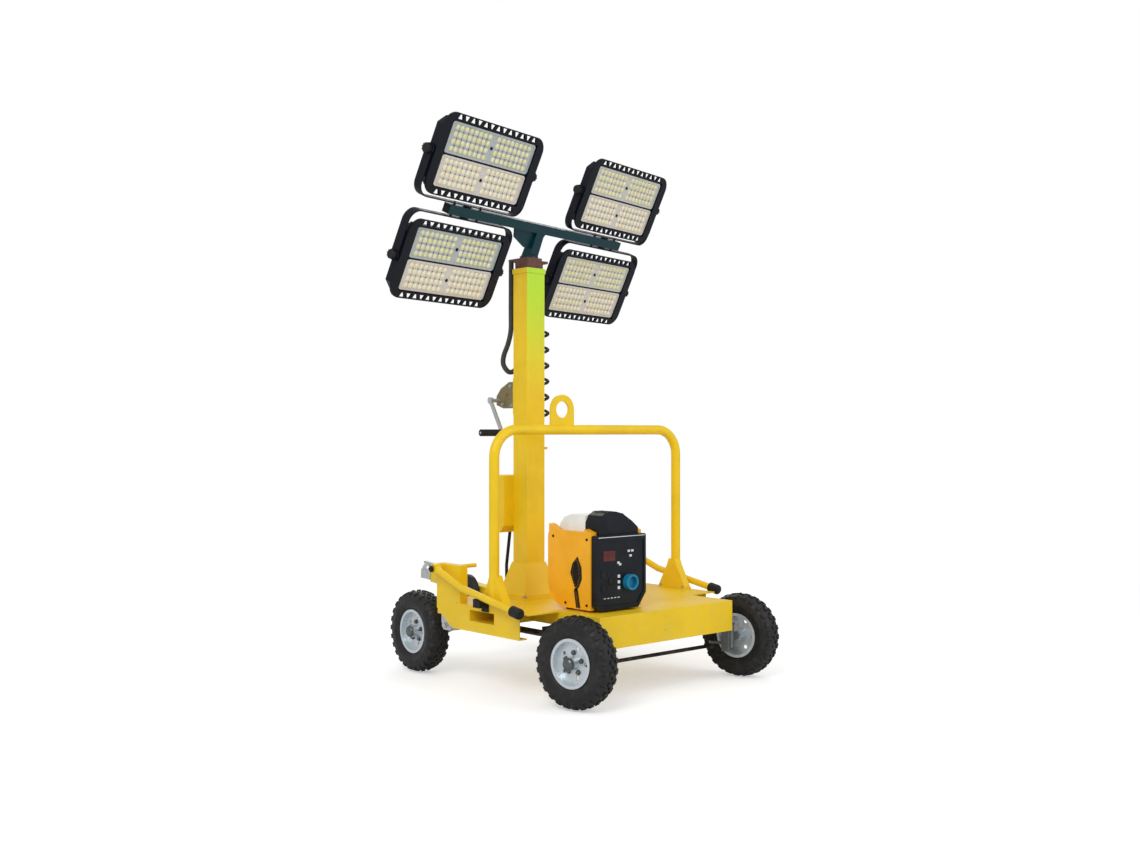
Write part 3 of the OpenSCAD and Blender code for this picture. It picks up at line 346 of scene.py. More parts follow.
class Finishes:
    """Every finish of the tower, made once and found by its name."""

    def __init__(self) -> None:
        """Makes all the materials."""
        yellow = (0.91, 0.61, 0.008)
        finishes = (
            Paint("yellow_coat", yellow),
            # the lime green is painted light on the mast's front face, near the top
            PaintWithPaintedLight("mast_coat", yellow, (0.48, 0.76, 0.012), 1.35, 1.98),
            Paint("teal_coat", (0.0015, 0.038, 0.050), 0.36, dust=0.0, gloss=0.25),
            Paint("black_coat", (0.008, 0.009, 0.010), 0.42, gloss=0.25),
            Paint("lamp_coat", (0.003, 0.005, 0.011), 0.42, dust=0.0, wear=(0.03, 0.03, 0.04), gloss=0.22),
            Plated("zinc_plate", (0.62, 0.64, 0.65)),
            Plated("rim_plate", (0.66, 0.72, 0.76), 0.34, 0.55, dull=0.06, speckle=0.03, brush=0.12),
            # dark steel of the wheel nuts and dust caps: partly their own darker metal, partly painted shade of the
            # rim's deep dish
            Plated("hub_steel", (0.14, 0.16, 0.16), 0.28, 0.8),
            Plated("dark_zinc", (0.20, 0.22, 0.23), 0.40, 0.7),
            Plated("gold_zinc", (0.30, 0.24, 0.12), 0.42, 0.75),
            Plated("mast_steel", (0.13, 0.05, 0.035), 0.5, 0.3, (0.02, 0.012, 0.012), 0.9),
            Plated("bolt_steel", (0.50, 0.50, 0.48), 0.33),
            # painted light and shade: one upper board colour, made darker and cooler for side A and paler for side B
            Plated("board_cool", (0.53, 0.58, 0.58), 0.32, 0.30, (0.38, 0.45, 0.47), 0.7),
            Plated("board_pale", (0.68, 0.68, 0.65), 0.32, 0.25, (0.56, 0.58, 0.57), 0.6),
            Plated("board_warm", (0.76, 0.72, 0.67), 0.32, 0.25, (0.64, 0.60, 0.56), 0.6),
            Moulded("tyre_rubber", (0.006, 0.006, 0.007), 0.52, 260.0, 0.0006, 0.05, 0.42),
            Moulded("black_rubber", (0.008, 0.008, 0.009), 0.6, gloss=0.3),
            Moulded("gen_orange", (0.93, 0.43, 0.010), 0.34),
            Moulded("gen_dark", (0.0025, 0.005, 0.010), 0.40, gloss=0.25),
            Moulded("gen_white", (0.80, 0.82, 0.80), 0.38),
            Moulded("socket_blue", (0.003, 0.19, 0.34), 0.36),
            Moulded("pale_plastic", (0.62, 0.66, 0.66), 0.4),
            Moulded("screen_red", (0.10, 0.012, 0.010), 0.15),
            Lens("lens_cool", (0.80, 0.74, 0.34), (0.86, 0.82, 0.52)),
            Lens("lens_warm", (0.92, 0.82, 0.48), (0.93, 0.86, 0.66)),
            Braid(),
        )
        self.made = {finish.name: finish.make() for finish in finishes}

    def __getitem__(self, name: str) -> bpy.types.Material:
        """The material with that name."""
        return self.made[name]

    def dress_nodes(self) -> None:
        """Puts a finish on every CAD node that stays in view."""
        coats = {
            "yellow_coat": "deck side_plates chassis_rails fork_sleeve rear_posts loop_frame lifting_eye mast_base control_box "
                           "handle_a handle_b drawbar",
            "mast_coat": "mast_outer mast_collar",
            "black_coat": "under_rods tie_rod",
            "teal_coat": "head_bar",
            "lamp_coat": "yokes lamp_1 lamp_2 lamp_3 lamp_4",
            "dark_zinc": "front_axle knuckle_a knuckle_b",
            "zinc_plate": "rear_axle crank coupling jockey_leg",
            "gold_zinc": "winch_frame winch_drum",
            "rim_plate": "rim_rear_a rim_rear_b rim_front_a rim_front_b",
            "mast_steel": "mast_inner",
            "black_rubber": "handle_rests handle_cap_a handle_cap_b crank_grip box_cable cable_coil lamp_loom",
            "tyre_rubber": "tyre_rear_a tyre_rear_b tyre_front_a tyre_front_b jockey_wheel",
            "gen_orange": "generator_shell",
            "gen_dark": "generator_panel generator_trim",
            "gen_white": "generator_tank",
            "socket_blue": "generator_socket",
            "pale_plastic": "glass_1 glass_2 glass_3 glass_4",
        }
        for coat, names in coats.items():
            for name in names.split():
                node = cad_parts[name]
                if not node.material_slots:
                    node.data.materials.append(self[coat])
                for slot in node.material_slots:
                    slot.material = self[coat]


# Mesh tools


class Shape:
    """Points and faces of one piece, gathered from simple forms."""

    def __init__(self) -> None:
        """Starts with nothing."""
        self.points: list[Vector] = []
        self.faces: list[tuple[int, ...]] = []

    def add(self, points: list[Point], faces: list[tuple[int, ...]], at: Matrix) -> None:
        """Adds points and faces, moved by a matrix."""
        start = len(self.points)
        self.points += [at @ Vector(p) for p in points]
        self.faces += [tuple(start + i for i in face) for face in faces]

    def prism(self, outline: list[tuple[float, float]], low: float, high: float, at: Matrix = Matrix(), lean: float = 1.0) -> None:
        """Adds an outline drawn in x and y, raised along z.

        Args:
            outline: The corners in order.
            low: The lower height.
            high: The upper height.
            at: The matrix that places it.
            lean: The size of the top against the bottom, about the outline's own zero.
        """
        n = len(outline)
        points = [(x, y, low) for x, y in outline] + [(x * lean, y * lean, high) for x, y in outline]
        sides = [(i, (i + 1) % n, n + (i + 1) % n, n + i) for i in range(n)]
        self.add(points, [tuple(reversed(range(n))), tuple(range(n, 2 * n)), *sides], at)

    def box(self, low: Point, high: Point, at: Matrix = Matrix()) -> None:
        """Adds a box from one corner to the other."""
        outline = [(low[0], low[1]), (high[0], low[1]), (high[0], high[1]), (low[0], high[1])]
        self.prism(outline, low[2], high[2], at)

    def lathe(self, profile: list[tuple[float, float]], steps: int, at: Matrix = Matrix(), closed: bool = False) -> None:
        """Adds a profile of radius and height, turned about z.

        Args:
            profile: Pairs of radius and height; a radius of 0 at either end makes a pole.
            steps: Steps round the circle.
            at: The matrix that places it.
            closed: True where the profile's last point joins its first.
        """
        points: list[Point] = []
        rings: list[list[int]] = []
        for radius, height in profile:
            if radius < 1e-7:
                points.append((0.0, 0.0, height))
                rings.append([len(points) - 1] * steps)
                continue
            rings.append(list(range(len(points), len(points) + steps)))
            points += [(radius * math.cos(math.tau * i / steps), radius * math.sin(math.tau * i / steps), height) for i in range(steps)]
        pairs = list(zip(rings, rings[1:])) + ([(rings[-1], rings[0])] if closed else [])
        faces = []
        for lower, upper in pairs:
            for i in range(steps):
                face = (lower[i], lower[(i + 1) % steps], upper[(i + 1) % steps], upper[i])
                faces.append(tuple(dict.fromkeys(face)))
        self.add(points, faces, at)

    def ring(self, outer: list[tuple[float, float]], inner: list[tuple[float, float]], low: float, high: float,
             at: Matrix) -> None:
        """Adds a flat ring between two outlines with as many corners.

        Args:
            outer: The outer outline, drawn in x and y.
            inner: The inner outline.
            low: The lower height.
            high: The upper height.
            at: The matrix that places it.
        """
        n = len(outer)
        levels = ((outer, low), (outer, high), (inner, high), (inner, low))
        points = [(x, y, z) for outline, z in levels for x, y in outline]
        faces = [(k * n + i, k * n + (i + 1) % n, (k + 1) % 4 * n + (i + 1) % n, (k + 1) % 4 * n + i)
                 for k in range(4) for i in range(n)]
        self.add(points, faces, at)

    def rod(self, start: Point, end: Point, radius: float, sides: int = 16) -> None:
        """Adds a straight round bar between two points of the frame."""
        a, b = Vector(start), Vector(end)
        at = Matrix.Translation(a) @ (b - a).to_track_quat("Z", "Y").to_matrix().to_4x4()
        length = (b - a).length
        self.lathe([(0.0, 0.0), (radius, 0.0), (radius, length), (0.0, length)], sides, at)

    def piece(self, name: str, material: bpy.types.Material, bevel: float = 0.0, angle: float = 40.0) -> bpy.types.Object:
        """Makes the object.

        Args:
            name: The piece's name.
            material: Its finish.
            bevel: Width of the bevel on its sharp edges, or 0.
            angle: Edges sharper than this stay sharp in shading.

        Returns:
            The new object, at the origin, with its place in its mesh.
        """
        bm = bmesh.new()
        verts = [bm.verts.new(p) for p in self.points]
        for face in self.faces:
            bm.faces.new([verts[i] for i in face])
        bmesh.ops.recalc_face_normals(bm, faces=bm.faces)
        if bevel:
            sharp = [e for e in bm.edges if len(e.link_faces) == 2 and e.calc_face_angle(0.0) > 0.6]
            bmesh.ops.bevel(bm, geom=sharp, offset=bevel, segments=2, profile=0.6, affect="EDGES", clamp_overlap=True)
        mesh = bpy.data.meshes.new(name)
        bm.to_mesh(mesh)
        bm.free()
        return show(name, mesh, material, angle)


def show(name: str, mesh: bpy.types.Mesh, material: bpy.types.Material, angle: float = 40.0) -> bpy.types.Object:
    """Shades a mesh smooth up to an angle, gives it its finish and links it to the scene."""
    mesh.polygons.foreach_set("use_smooth", [True] * len(mesh.polygons))
    mesh.set_sharp_from_angle(angle=math.radians(angle))
    mesh.materials.clear()
    mesh.materials.append(material)
    piece = bpy.data.objects.new(name, mesh)
    bpy.context.scene.collection.objects.link(piece)
    return piece


def polygon(count: int, radius: float, start: float = 0.0) -> list[tuple[float, float]]:
    """Corners of a regular polygon."""
    return [(radius * math.cos(start + math.tau * i / count), radius * math.sin(start + math.tau * i / count)) for i in range(count)]


def rounded(half_x: float, half_y: float, radius: float, steps: int = 6) -> list[tuple[float, float]]:
    """The outline of a rectangle with round corners, about zero."""
    corners = ((half_x - radius, half_y - radius, 0), (radius - half_x, half_y - radius, 90),
               (radius - half_x, radius - half_y, 180), (half_x - radius, radius - half_y, 270))
    outline = []
    for x, y, start in corners:
        for i in range(steps + 1):
            a = math.radians(start + 90 * i / steps)
            outline.append((x + radius * math.cos(a), y + radius * math.sin(a)))
    return outline


def smooth_path(points: list[Point], steps: int = 8) -> list[Vector]:
    """Points along a smooth curve through the given ones."""
    p = [Vector(points[0]), *[Vector(q) for q in points], Vector(points[-1])]
    path = []
    for i in range(1, len(p) - 2):
        for k in range(steps):
            t = k / steps
            a, b, c, d = p[i - 1], p[i], p[i + 1], p[i + 2]
            path.append(0.5 * (2 * b + (c - a) * t + (2 * a - 5 * b + 4 * c - d) * t * t + (3 * b - a - 3 * c + d) * t ** 3))
    return [*path, p[-2]]


class Tree:
    """A Geometry Nodes tree with named inputs that ends in real geometry with one finish."""

    def __init__(self, name: str, sizes: dict[str, str]) -> None:
        """Starts the tree with one input for each size, the template and the finish.

        Args:
            name: The tree's name.
            sizes: Socket type of each named input.
        """
        self.group = bpy.data.node_groups.new(name, "GeometryNodeTree")
        face = self.group.interface
        self.inputs = {"Geometry": face.new_socket("Geometry", in_out="INPUT", socket_type="NodeSocketGeometry").identifier}
        for label, kind in {**sizes, "Finish": "NodeSocketMaterial"}.items():
            self.inputs[label] = face.new_socket(label, in_out="INPUT", socket_type=kind).identifier
        face.new_socket("Geometry", in_out="OUTPUT", socket_type="NodeSocketGeometry")
        self.source = self.add("NodeGroupInput")

    def add(self, kind: str, **settings: object) -> bpy.types.Node:
        """A new node with some of its properties set."""
        node = self.group.nodes.new(kind)
        for name, value in settings.items():
            setattr(node, name, value)
        return node

    def join(self, source: bpy.types.NodeSocket, target: bpy.types.NodeSocket) -> None:
        """Links an output to an input."""
        self.group.links.new(source, target)

    def size(self, label: str) -> bpy.types.NodeSocket:
        """The output of a named input."""
        return self.source.outputs[label]

    def maths(self, operation: str, first: object, second: object) -> bpy.types.NodeSocket:
        """The result of a sum on sockets or numbers."""
        node = self.add("ShaderNodeMath", operation=operation)
        for i, value in enumerate((first, second)):
            if isinstance(value, bpy.types.NodeSocket):
                self.join(value, node.inputs[i])
            else:
                node.inputs[i].default_value = value
        return node.outputs[0]

    def close(self, geometry: bpy.types.NodeSocket) -> None:
        """Turns copies into real geometry, sets the finish and ends the tree."""
        real = self.add("GeometryNodeRealizeInstances")
        coat = self.add("GeometryNodeSetMaterial")
        out = self.add("NodeGroupOutput")
        self.join(geometry, real.inputs[0])
        self.join(real.outputs[0], coat.inputs["Geometry"])
        self.join(self.size("Finish"), coat.inputs["Material"])
        self.join(coat.outputs[0], out.inputs[0])

    def copies(self, points: bpy.types.NodeSocket, rotation: bpy.types.NodeSocket | None = None) -> None:
        """Sets the template on points, turned as told, and ends the tree."""
        info = self.add("GeometryNodeObjectInfo")
        self.join(self.size("Template"), info.inputs["Object"])
        put = self.add("GeometryNodeInstanceOnPoints")
        self.join(points, put.inputs["Points"])
        self.join(info.outputs["Geometry"], put.inputs["Instance"])
        if rotation:
            self.join(rotation, put.inputs["Rotation"])
        self.close(put.outputs[0])

    def grow(self, name: str, values: dict[str, object], material: bpy.types.Material, at: Matrix = Matrix(),
             host: bpy.types.Mesh | None = None, angle: float = 40.0) -> bpy.types.Object:
        """Runs the tree and keeps its result as a plain mesh.

        Args:
            name: The piece's name.
            values: A value for each named input.
            material: The finish.
            at: The matrix that places the result in the frame.
            host: The mesh that the tree starts from, if it needs one.
            angle: Edges sharper than this stay sharp in shading.

        Returns:
            The new object, without a modifier.
        """
        mesh = host or bpy.data.meshes.new(name + "_host")
        carrier = bpy.data.objects.new(name + "_host", mesh)
        bpy.context.scene.collection.objects.link(carrier)
        modifier = carrier.modifiers.new("grow", "NODES")
        modifier.node_group = self.group
        for label, value in {**values, "Finish": material}.items():
            modifier[self.inputs[label]] = value
        depsgraph = bpy.context.evaluated_depsgraph_get()
        result = bpy.data.meshes.new_from_object(carrier.evaluated_get(depsgraph), depsgraph=depsgraph)
        bpy.data.objects.remove(carrier)
        result.name = name
        result.transform(at)
        return show(name, result, material, angle)


class Trees:
    """The tower's trees: a ring, a grid, single places and a swept cable."""

    def __init__(self) -> None:
        """Builds the four trees."""
        self.ring = self.make_ring()
        self.grid = self.make_grid()
        self.spots = self.make_spots()
        self.sweep = self.make_sweep()

    @staticmethod
    def make_ring() -> Tree:
        """A tree that sets a template round a circle, its x axis outwards."""
        tree = Tree("ring_of_copies", {"Template": "NodeSocketObject", "Count": "NodeSocketInt", "Radius": "NodeSocketFloat",
                                       "Start": "NodeSocketFloat"})
        circle = tree.add("GeometryNodeMeshCircle")
        tree.join(tree.size("Count"), circle.inputs["Vertices"])
        tree.join(tree.size("Radius"), circle.inputs["Radius"])
        step = tree.maths("DIVIDE", math.tau, tree.size("Count"))
        angle = tree.maths("MULTIPLY", tree.add("GeometryNodeInputIndex").outputs[0], step)
        spin = tree.add("ShaderNodeCombineXYZ")
        tree.join(angle, spin.inputs["Z"])
        start = tree.add("ShaderNodeCombineXYZ")
        tree.join(tree.size("Start"), start.inputs["Z"])
        info = tree.add("GeometryNodeObjectInfo")
        tree.join(tree.size("Template"), info.inputs["Object"])
        put = tree.add("GeometryNodeInstanceOnPoints")
        tree.join(circle.outputs[0], put.inputs["Points"])
        tree.join(info.outputs["Geometry"], put.inputs["Instance"])
        tree.join(spin.outputs[0], put.inputs["Rotation"])
        whole = tree.add("GeometryNodeTransform")
        tree.join(put.outputs[0], whole.inputs["Geometry"])
        tree.join(start.outputs[0], whole.inputs["Rotation"])
        tree.close(whole.outputs[0])
        return tree

    @staticmethod
    def make_grid() -> Tree:
        """A tree that sets a template in rows and columns in the plane z = 0."""
        tree = Tree("grid_of_copies", {"Template": "NodeSocketObject", "Columns": "NodeSocketInt", "Rows": "NodeSocketInt",
                                       "Width": "NodeSocketFloat", "Height": "NodeSocketFloat"})
        grid = tree.add("GeometryNodeMeshGrid")
        for label, socket in (("Columns", "Vertices X"), ("Rows", "Vertices Y"), ("Width", "Size X"), ("Height", "Size Y")):
            tree.join(tree.size(label), grid.inputs[socket])
        tree.copies(grid.outputs["Mesh"])
        return tree

    @staticmethod
    def make_spots() -> Tree:
        """A tree that sets a template on each point of its host, turned by the point's own angles."""
        tree = Tree("copies_on_spots", {"Template": "NodeSocketObject"})
        angles = tree.add("GeometryNodeInputNamedAttribute", data_type="FLOAT_VECTOR")
        angles.inputs["Name"].default_value = "turned"
        tree.copies(tree.size("Geometry"), angles.outputs["Attribute"])
        return tree

    @staticmethod
    def make_sweep() -> Tree:
        """A tree that sweeps a circle along its host's edges."""
        tree = Tree("swept_cable", {"Radius": "NodeSocketFloat", "Sides": "NodeSocketInt"})
        curve = tree.add("GeometryNodeMeshToCurve")
        tree.join(tree.size("Geometry"), curve.inputs[0])
        circle = tree.add("GeometryNodeCurvePrimitiveCircle", mode="RADIUS")
        tree.join(tree.size("Sides"), circle.inputs["Resolution"])
        tree.join(tree.size("Radius"), circle.inputs["Radius"])
        tube = tree.add("GeometryNodeCurveToMesh")
        tree.join(curve.outputs[0], tube.inputs["Curve"])
        tree.join(circle.outputs[0], tube.inputs["Profile Curve"])
        tube.inputs["Fill Caps"].default_value = True
        tree.close(tube.outputs[0])
        return tree

    def cable(self, name: str, path: list[Vector], radius: float, material: bpy.types.Material, sides: int = 10) -> bpy.types.Object:
        """A round cable along a path of the frame.

        Args:
            name: The piece's name.
            path: Points along the cable's middle.
            radius: The cable's radius.
            material: Its finish.
            sides: Sides of its section.

        Returns:
            The cable.
        """
        line = bpy.data.meshes.new(name + "_line")
        line.from_pydata([tuple(p) for p in path], [(i, i + 1) for i in range(len(path) - 1)], [])
        return self.sweep.grow(name, {"Radius": radius, "Sides": sides}, material, host=line, angle=60.0)

    def on_spots(self, name: str, template: bpy.types.Object, spots: list[Matrix], material: bpy.types.Material) -> bpy.types.Object:
        """Copies of a template at places of the frame.

        Args:
            name: The piece's name.
            template: The small object to repeat.
            spots: A matrix for each copy.
            material: Its finish.

        Returns:
            All the copies as one piece.
        """
        host = bpy.data.meshes.new(name + "_spots")
        host.from_pydata([tuple(m.to_translation()) for m in spots], [], [])
        angles = host.attributes.new("turned", "FLOAT_VECTOR", "POINT")
        for item, m in zip(angles.data, spots):
            item.vector = m.to_euler()
        return self.spots.grow(name, {"Template": template}, material, host=host)


@dataclass
class Fasteners:
    """Hexagon bolts, nuts and round-headed screws, kept as templates."""

    trees: Trees
    finishes: Finishes

    def template(self, name: str, shape: Shape, bevel: float = 0.0) -> bpy.types.Object:
        """A small shape kept out of the scene, as a template for copies."""
        piece = shape.piece(name, self.finishes["bolt_steel"], bevel)
        bpy.context.scene.collection.objects.unlink(piece)
        return piece

    def bolt(self, across: float, head: float) -> bpy.types.Object:
        """A hexagon head on a washer, its axis along z and its seat at zero.

        Args:
            across: Width across the flats.
            head: Height of the head.

        Returns:
            The template.
        """
        shape = Shape()
        shape.lathe([(0.0, 0.0), (across * 0.72, 0.0), (across * 0.72, head * 0.22), (0.0, head * 0.22)], 18)
        shape.prism(polygon(6, across / math.sqrt(3)), head * 0.2, head)
        return self.template("bolt_%d" % round(across * 10000), shape, head * 0.08)

    def screw(self, radius: float) -> bpy.types.Object:
        """A low round head with a hexagon socket."""
        shape = Shape()
        shape.lathe([(0.0, 0.0), (radius, 0.0), (radius, radius * 0.45), (radius * 0.8, radius * 0.8), (radius * 0.45, radius * 0.85),
                     (radius * 0.42, radius * 0.4), (0.0, radius * 0.4)], 12)
        return self.template("screw_%d" % round(radius * 10000), shape)


# Sub-assemblies


@dataclass
class Wheel:
    """One road wheel: a lugged tyre, its nuts, dust cap and valve."""

    name: str
    side: Side
    centre: Point
    steer: float
    trees: Trees
    finishes: Finishes
    outer: float = 0.205
    carcass: float = 0.197
    half_width: float = 0.056
    rim: float = 0.110
    lugs: int = 26

    def axes(self) -> Matrix:
        """The wheel's axes: z out of its outer face."""
        return place(*self.centre) @ turn(self.steer, "Z") @ turn(90 if self.side is Side.A else -90, "X")

    def tyre(self) -> bpy.types.Object:
        """The carcass with its side rings."""
        shape = Shape()
        half = [(self.rim, 0.040), (self.rim + 0.006, 0.046), (self.rim + 0.018, 0.0515), (self.rim + 0.034, 0.0548),
                (self.rim + 0.038, self.half_width), (self.rim + 0.041, 0.0552), (self.rim + 0.060, 0.0545), (self.carcass - 0.017, 0.050),
                (self.carcass - 0.007, 0.044), (self.carcass, 0.030), (self.carcass + 0.0008, 0.012)]
        profile = half + [(r, -w) for r, w in reversed(half)] + [(self.rim - 0.008, -0.040), (self.rim - 0.008, 0.040)]
        shape.lathe(profile, 72, self.axes(), closed=True)
        return shape.piece("tyre_body_" + self.name, self.finishes["tyre_rubber"], angle=50.0)

    def lug(self, outline: list[tuple[float, float]], height: float, wrap: float) -> bpy.types.Object:
        """A tread block, x outwards from the tread and y round the tyre.

        Args:
            outline: The block's outline across the tyre (x) and round it (y).
            height: Its height above the carcass.
            wrap: How far its outer end drops over the shoulder.

        Returns:
            The template.
        """
        shape = Shape()
        count = len(outline)
        reach = max(abs(x) for x, _ in outline)
        low = [(-0.006 - wrap * (abs(x) / reach) ** 2, y * 1.12, x) for x, y in outline]
        high = [(height - wrap * (abs(x) / reach) ** 2 * 0.75, y, x * 0.99) for x, y in outline]
        sides = [(i, (i + 1) % count, count + (i + 1) % count, count + i) for i in range(count)]
        shape.add(low + high, [tuple(reversed(range(count))), tuple(range(count, 2 * count)), *sides], Matrix())
        piece = shape.piece("lug_template", self.finishes["tyre_rubber"], 0.0012)
        bpy.context.scene.collection.objects.unlink(piece)
        return piece

    def tread(self) -> list[bpy.types.Object]:
        """Two staggered rows of shoulder blocks and a row of paired middle blocks."""
        height = self.outer - self.carcass - 0.0006
        pieces = []
        rows = ((1, 0.0, "left"), (-1, 0.5, "right"))
        for sign, stagger, label in rows:
            outline = [(sign * x, y) for x, y in ((0.019, -0.0075), (0.034, -0.012), (0.0515, -0.0115), (0.0515, 0.0115), (0.034, 0.0105),
                                                  (0.019, 0.0055))]
            values = {"Template": self.lug(outline, height, 0.017), "Count": self.lugs, "Radius": self.carcass,
                      "Start": stagger * math.tau / self.lugs}
            pieces.append(self.trees.ring.grow("tread_%s_%s" % (label, self.name), values, self.finishes["tyre_rubber"], self.axes()))
        for sign, stagger, label in rows:
            outline = [(sign * x, y) for x, y in ((0.0015, -0.004), (0.0150, -0.010), (0.0160, 0.003), (0.0025, 0.009))]
            values = {"Template": self.lug(outline, height, 0.0), "Count": self.lugs, "Radius": self.carcass,
                      "Start": (stagger + 0.45) * math.tau / self.lugs}
            pieces.append(self.trees.ring.grow("tread_mid_%s_%s" % (label, self.name), values, self.finishes["tyre_rubber"], self.axes()))
        return pieces

    def fittings(self, fasteners: Fasteners) -> list[bpy.types.Object]:
        """The nuts, the dust cap and the valve on the rim's dished face."""
        # the nuts and dust cap are darkened partly as painted shade of the rim's deep dish
        values = {"Template": fasteners.bolt(0.017, 0.011), "Count": 5, "Radius": 0.046, "Start": 0.3}
        nuts = self.trees.ring.grow("nuts_" + self.name, values, self.finishes["hub_steel"],
                                    self.axes() @ Matrix.Translation((0.0, 0.0, 0.019)))
        cap = Shape()
        cap.lathe([(0.0, 0.0545), (0.0285, 0.0545), (0.0285, 0.058), (0.024, 0.066), (0.012, 0.071), (0.0, 0.072)], 24, self.axes())
        valve = Shape()
        stem = self.axes() @ Matrix.Translation((0.082, 0.0, 0.018)) @ turn(20, "Y")
        valve.lathe([(0.0, 0.0), (0.0052, 0.0), (0.0045, 0.014), (0.0040, 0.016), (0.0040, 0.028), (0.0, 0.028)], 10, stem)
        return [nuts, cap.piece("dust_cap_" + self.name, self.finishes["hub_steel"]),
                valve.piece("valve_" + self.name, self.finishes["black_rubber"])]

    def build(self, fasteners: Fasteners) -> None:
        """Builds the wheel's pieces and lets them turn with the wheel."""
        tyre = self.tyre()
        for piece in [tyre, *self.tread(), *self.fittings(fasteners)]:
            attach(piece, "wheel_" + self.name)
        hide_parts("tyre_" + self.name)


@dataclass
class Lamp:
    """One floodlight: its field of lenses, dividers, back fins, driver and screws."""

    number: int
    side: Side
    row: int
    trees: Trees
    finishes: Finishes
    field_w: float = 0.588
    field_h: float = 0.304
    front: float = 0.028
    back: float = 0.020

    def axes(self) -> Matrix:
        """The lamp's axes."""
        return on_lamp(self.side, self.row)

    def facing(self, x: float, y: float, z: float) -> Matrix:
        """A place on the lamp whose z axis points out of the face."""
        return self.axes() @ Matrix.Translation((x, y, z)) @ turn(90, "Z") @ turn(90, "X")

    def rise(self, row: int) -> float:
        """Height of a module's middle on the field."""
        return row * self.field_h / 4

    def board(self, row: int) -> bpy.types.Object:
        """One module's board with a raised rounded rim.

        Args:
            row: 1 for the upper module and -1 for the lower one.

        Returns:
            The board.
        """
        shape = Shape()
        hw, hh, rim = self.field_w / 2 - 0.004, self.field_h / 4 - 0.0045, 0.009
        at = self.facing(0.0, 0.0, 0.0) @ Matrix.Translation((0.0, self.rise(row), self.back))
        outer = rounded(hw, hh, 0.016)
        inner = rounded(hw - rim, hh - rim, 0.010)
        n = len(outer)
        levels = [(outer, 0.0), (outer, 0.0050), (inner, 0.0062), (inner, 0.0022)]
        points = [(x, y, z) for ring, z in levels for x, y in ring]
        faces = [tuple(range(n))[::-1], tuple(range(3 * n, 4 * n))]
        faces += [(k * n + i, k * n + (i + 1) % n, (k + 1) * n + (i + 1) % n, (k + 1) * n + i) for k in range(3) for i in range(n)]
        shape.add(points, faces, at)
        # side A's upper boards take the darker, cooler copy and side B's the paler one: painted light and shade
        upper = "board_cool" if self.side is Side.A else "board_pale"
        finish = upper if row > 0 else "board_warm"
        return shape.piece("led_board_%d_%s" % (self.number, "upper" if row > 0 else "lower"), self.finishes[finish])

    def divider(self) -> bpy.types.Object:
        """The dark bed under both modules, which shows between them."""
        shape = Shape()
        hw, hh = self.field_w / 2, self.field_h / 2
        at = self.facing(self.back, 0.0, 0.0)
        shape.prism(rounded(hw, hh, 0.012), -0.0005, 0.0012, at)
        return shape.piece("led_bed_%d" % self.number, self.finishes["lamp_coat"])

    def lenses(self, row: int) -> list[bpy.types.Object]:
        """A module's two groups of domed lenses and the dark dots between them, set by a grid tree.

        Args:
            row: 1 for the upper module and -1 for the lower one.

        Returns:
            The pieces.
        """
        name = "%d_%s" % (self.number, "upper" if row > 0 else "lower")
        dome, dot = Shape(), Shape()
        dome.lathe([(0.0122, 0.0), (0.0122, 0.0014), (0.0100, 0.0032), (0.0065, 0.0046), (0.0, 0.0051)], 12)
        dot.lathe([(0.0034, 0.0), (0.0030, 0.0012), (0.0, 0.0014)], 6)
        finish = self.finishes["lens_cool" if row > 0 else "lens_warm"]
        lens = self.hidden(dome, "lens_template", finish)
        mark = self.hidden(dot, "dot_template", self.finishes["gen_dark"])
        pieces = []
        for k, x in enumerate((-0.142, 0.142)):
            at = self.facing(0.0, 0.0, 0.0) @ Matrix.Translation((x, self.rise(row), self.back + 0.0022))
            values = {"Template": lens, "Columns": 8, "Rows": 4, "Width": 0.220, "Height": 0.098}
            pieces.append(self.trees.grid.grow("lenses_%s_%d" % (name, k), values, finish, at))
            values = {"Template": mark, "Columns": 7, "Rows": 3, "Width": 0.1886, "Height": 0.0653}
            pieces.append(self.trees.grid.grow("dots_%s_%d" % (name, k), values, self.finishes["gen_dark"], at))
        eye = Shape()
        eye.lathe([(0.0, 0.0), (0.0080, 0.0), (0.0080, 0.003), (0.0, 0.004)], 12,
                  self.facing(0.0, 0.0, 0.0) @ Matrix.Translation((0.0, self.rise(row), self.back + 0.0022)))
        return [*pieces, eye.piece("led_eye_" + name, self.finishes["gen_dark"])]

    @staticmethod
    def hidden(shape: Shape, name: str, finish: bpy.types.Material) -> bpy.types.Object:
        """A small shape kept out of the scene, as a template for copies."""
        piece = shape.piece(name, finish)
        bpy.context.scene.collection.objects.unlink(piece)
        return piece

    def back_details(self, fasteners: "Fasteners") -> list[bpy.types.Object]:
        """Ribs and screws on the driver housing, and its cable gland."""
        ribs = Shape()
        for k in range(-4, 5):
            ribs.box((-0.0405, k * 0.018 - 0.002, -0.060), (-0.0375, k * 0.018 + 0.002, 0.060), self.axes())
        ribs.rod(self.axes() @ Vector((-0.030, 0.0, -0.069)), self.axes() @ Vector((-0.030, 0.0, -0.096)), 0.009)
        ribs.rod(self.axes() @ Vector((-0.030, 0.0, -0.090)), self.axes() @ Vector((-0.026, 0.0, -0.122)), 0.005)
        spots = [self.axes() @ Matrix.Translation((-0.041, y * 0.086, z * 0.060)) @ turn(-90, "Y") for y in (-1, 1) for z in (-1, 1)]
        screws = self.trees.on_spots("driver_screws_%d" % self.number, fasteners.screw(0.005), spots, self.finishes["bolt_steel"])
        return [ribs.piece("driver_ribs_%d" % self.number, self.finishes["lamp_coat"], 0.0008), screws]

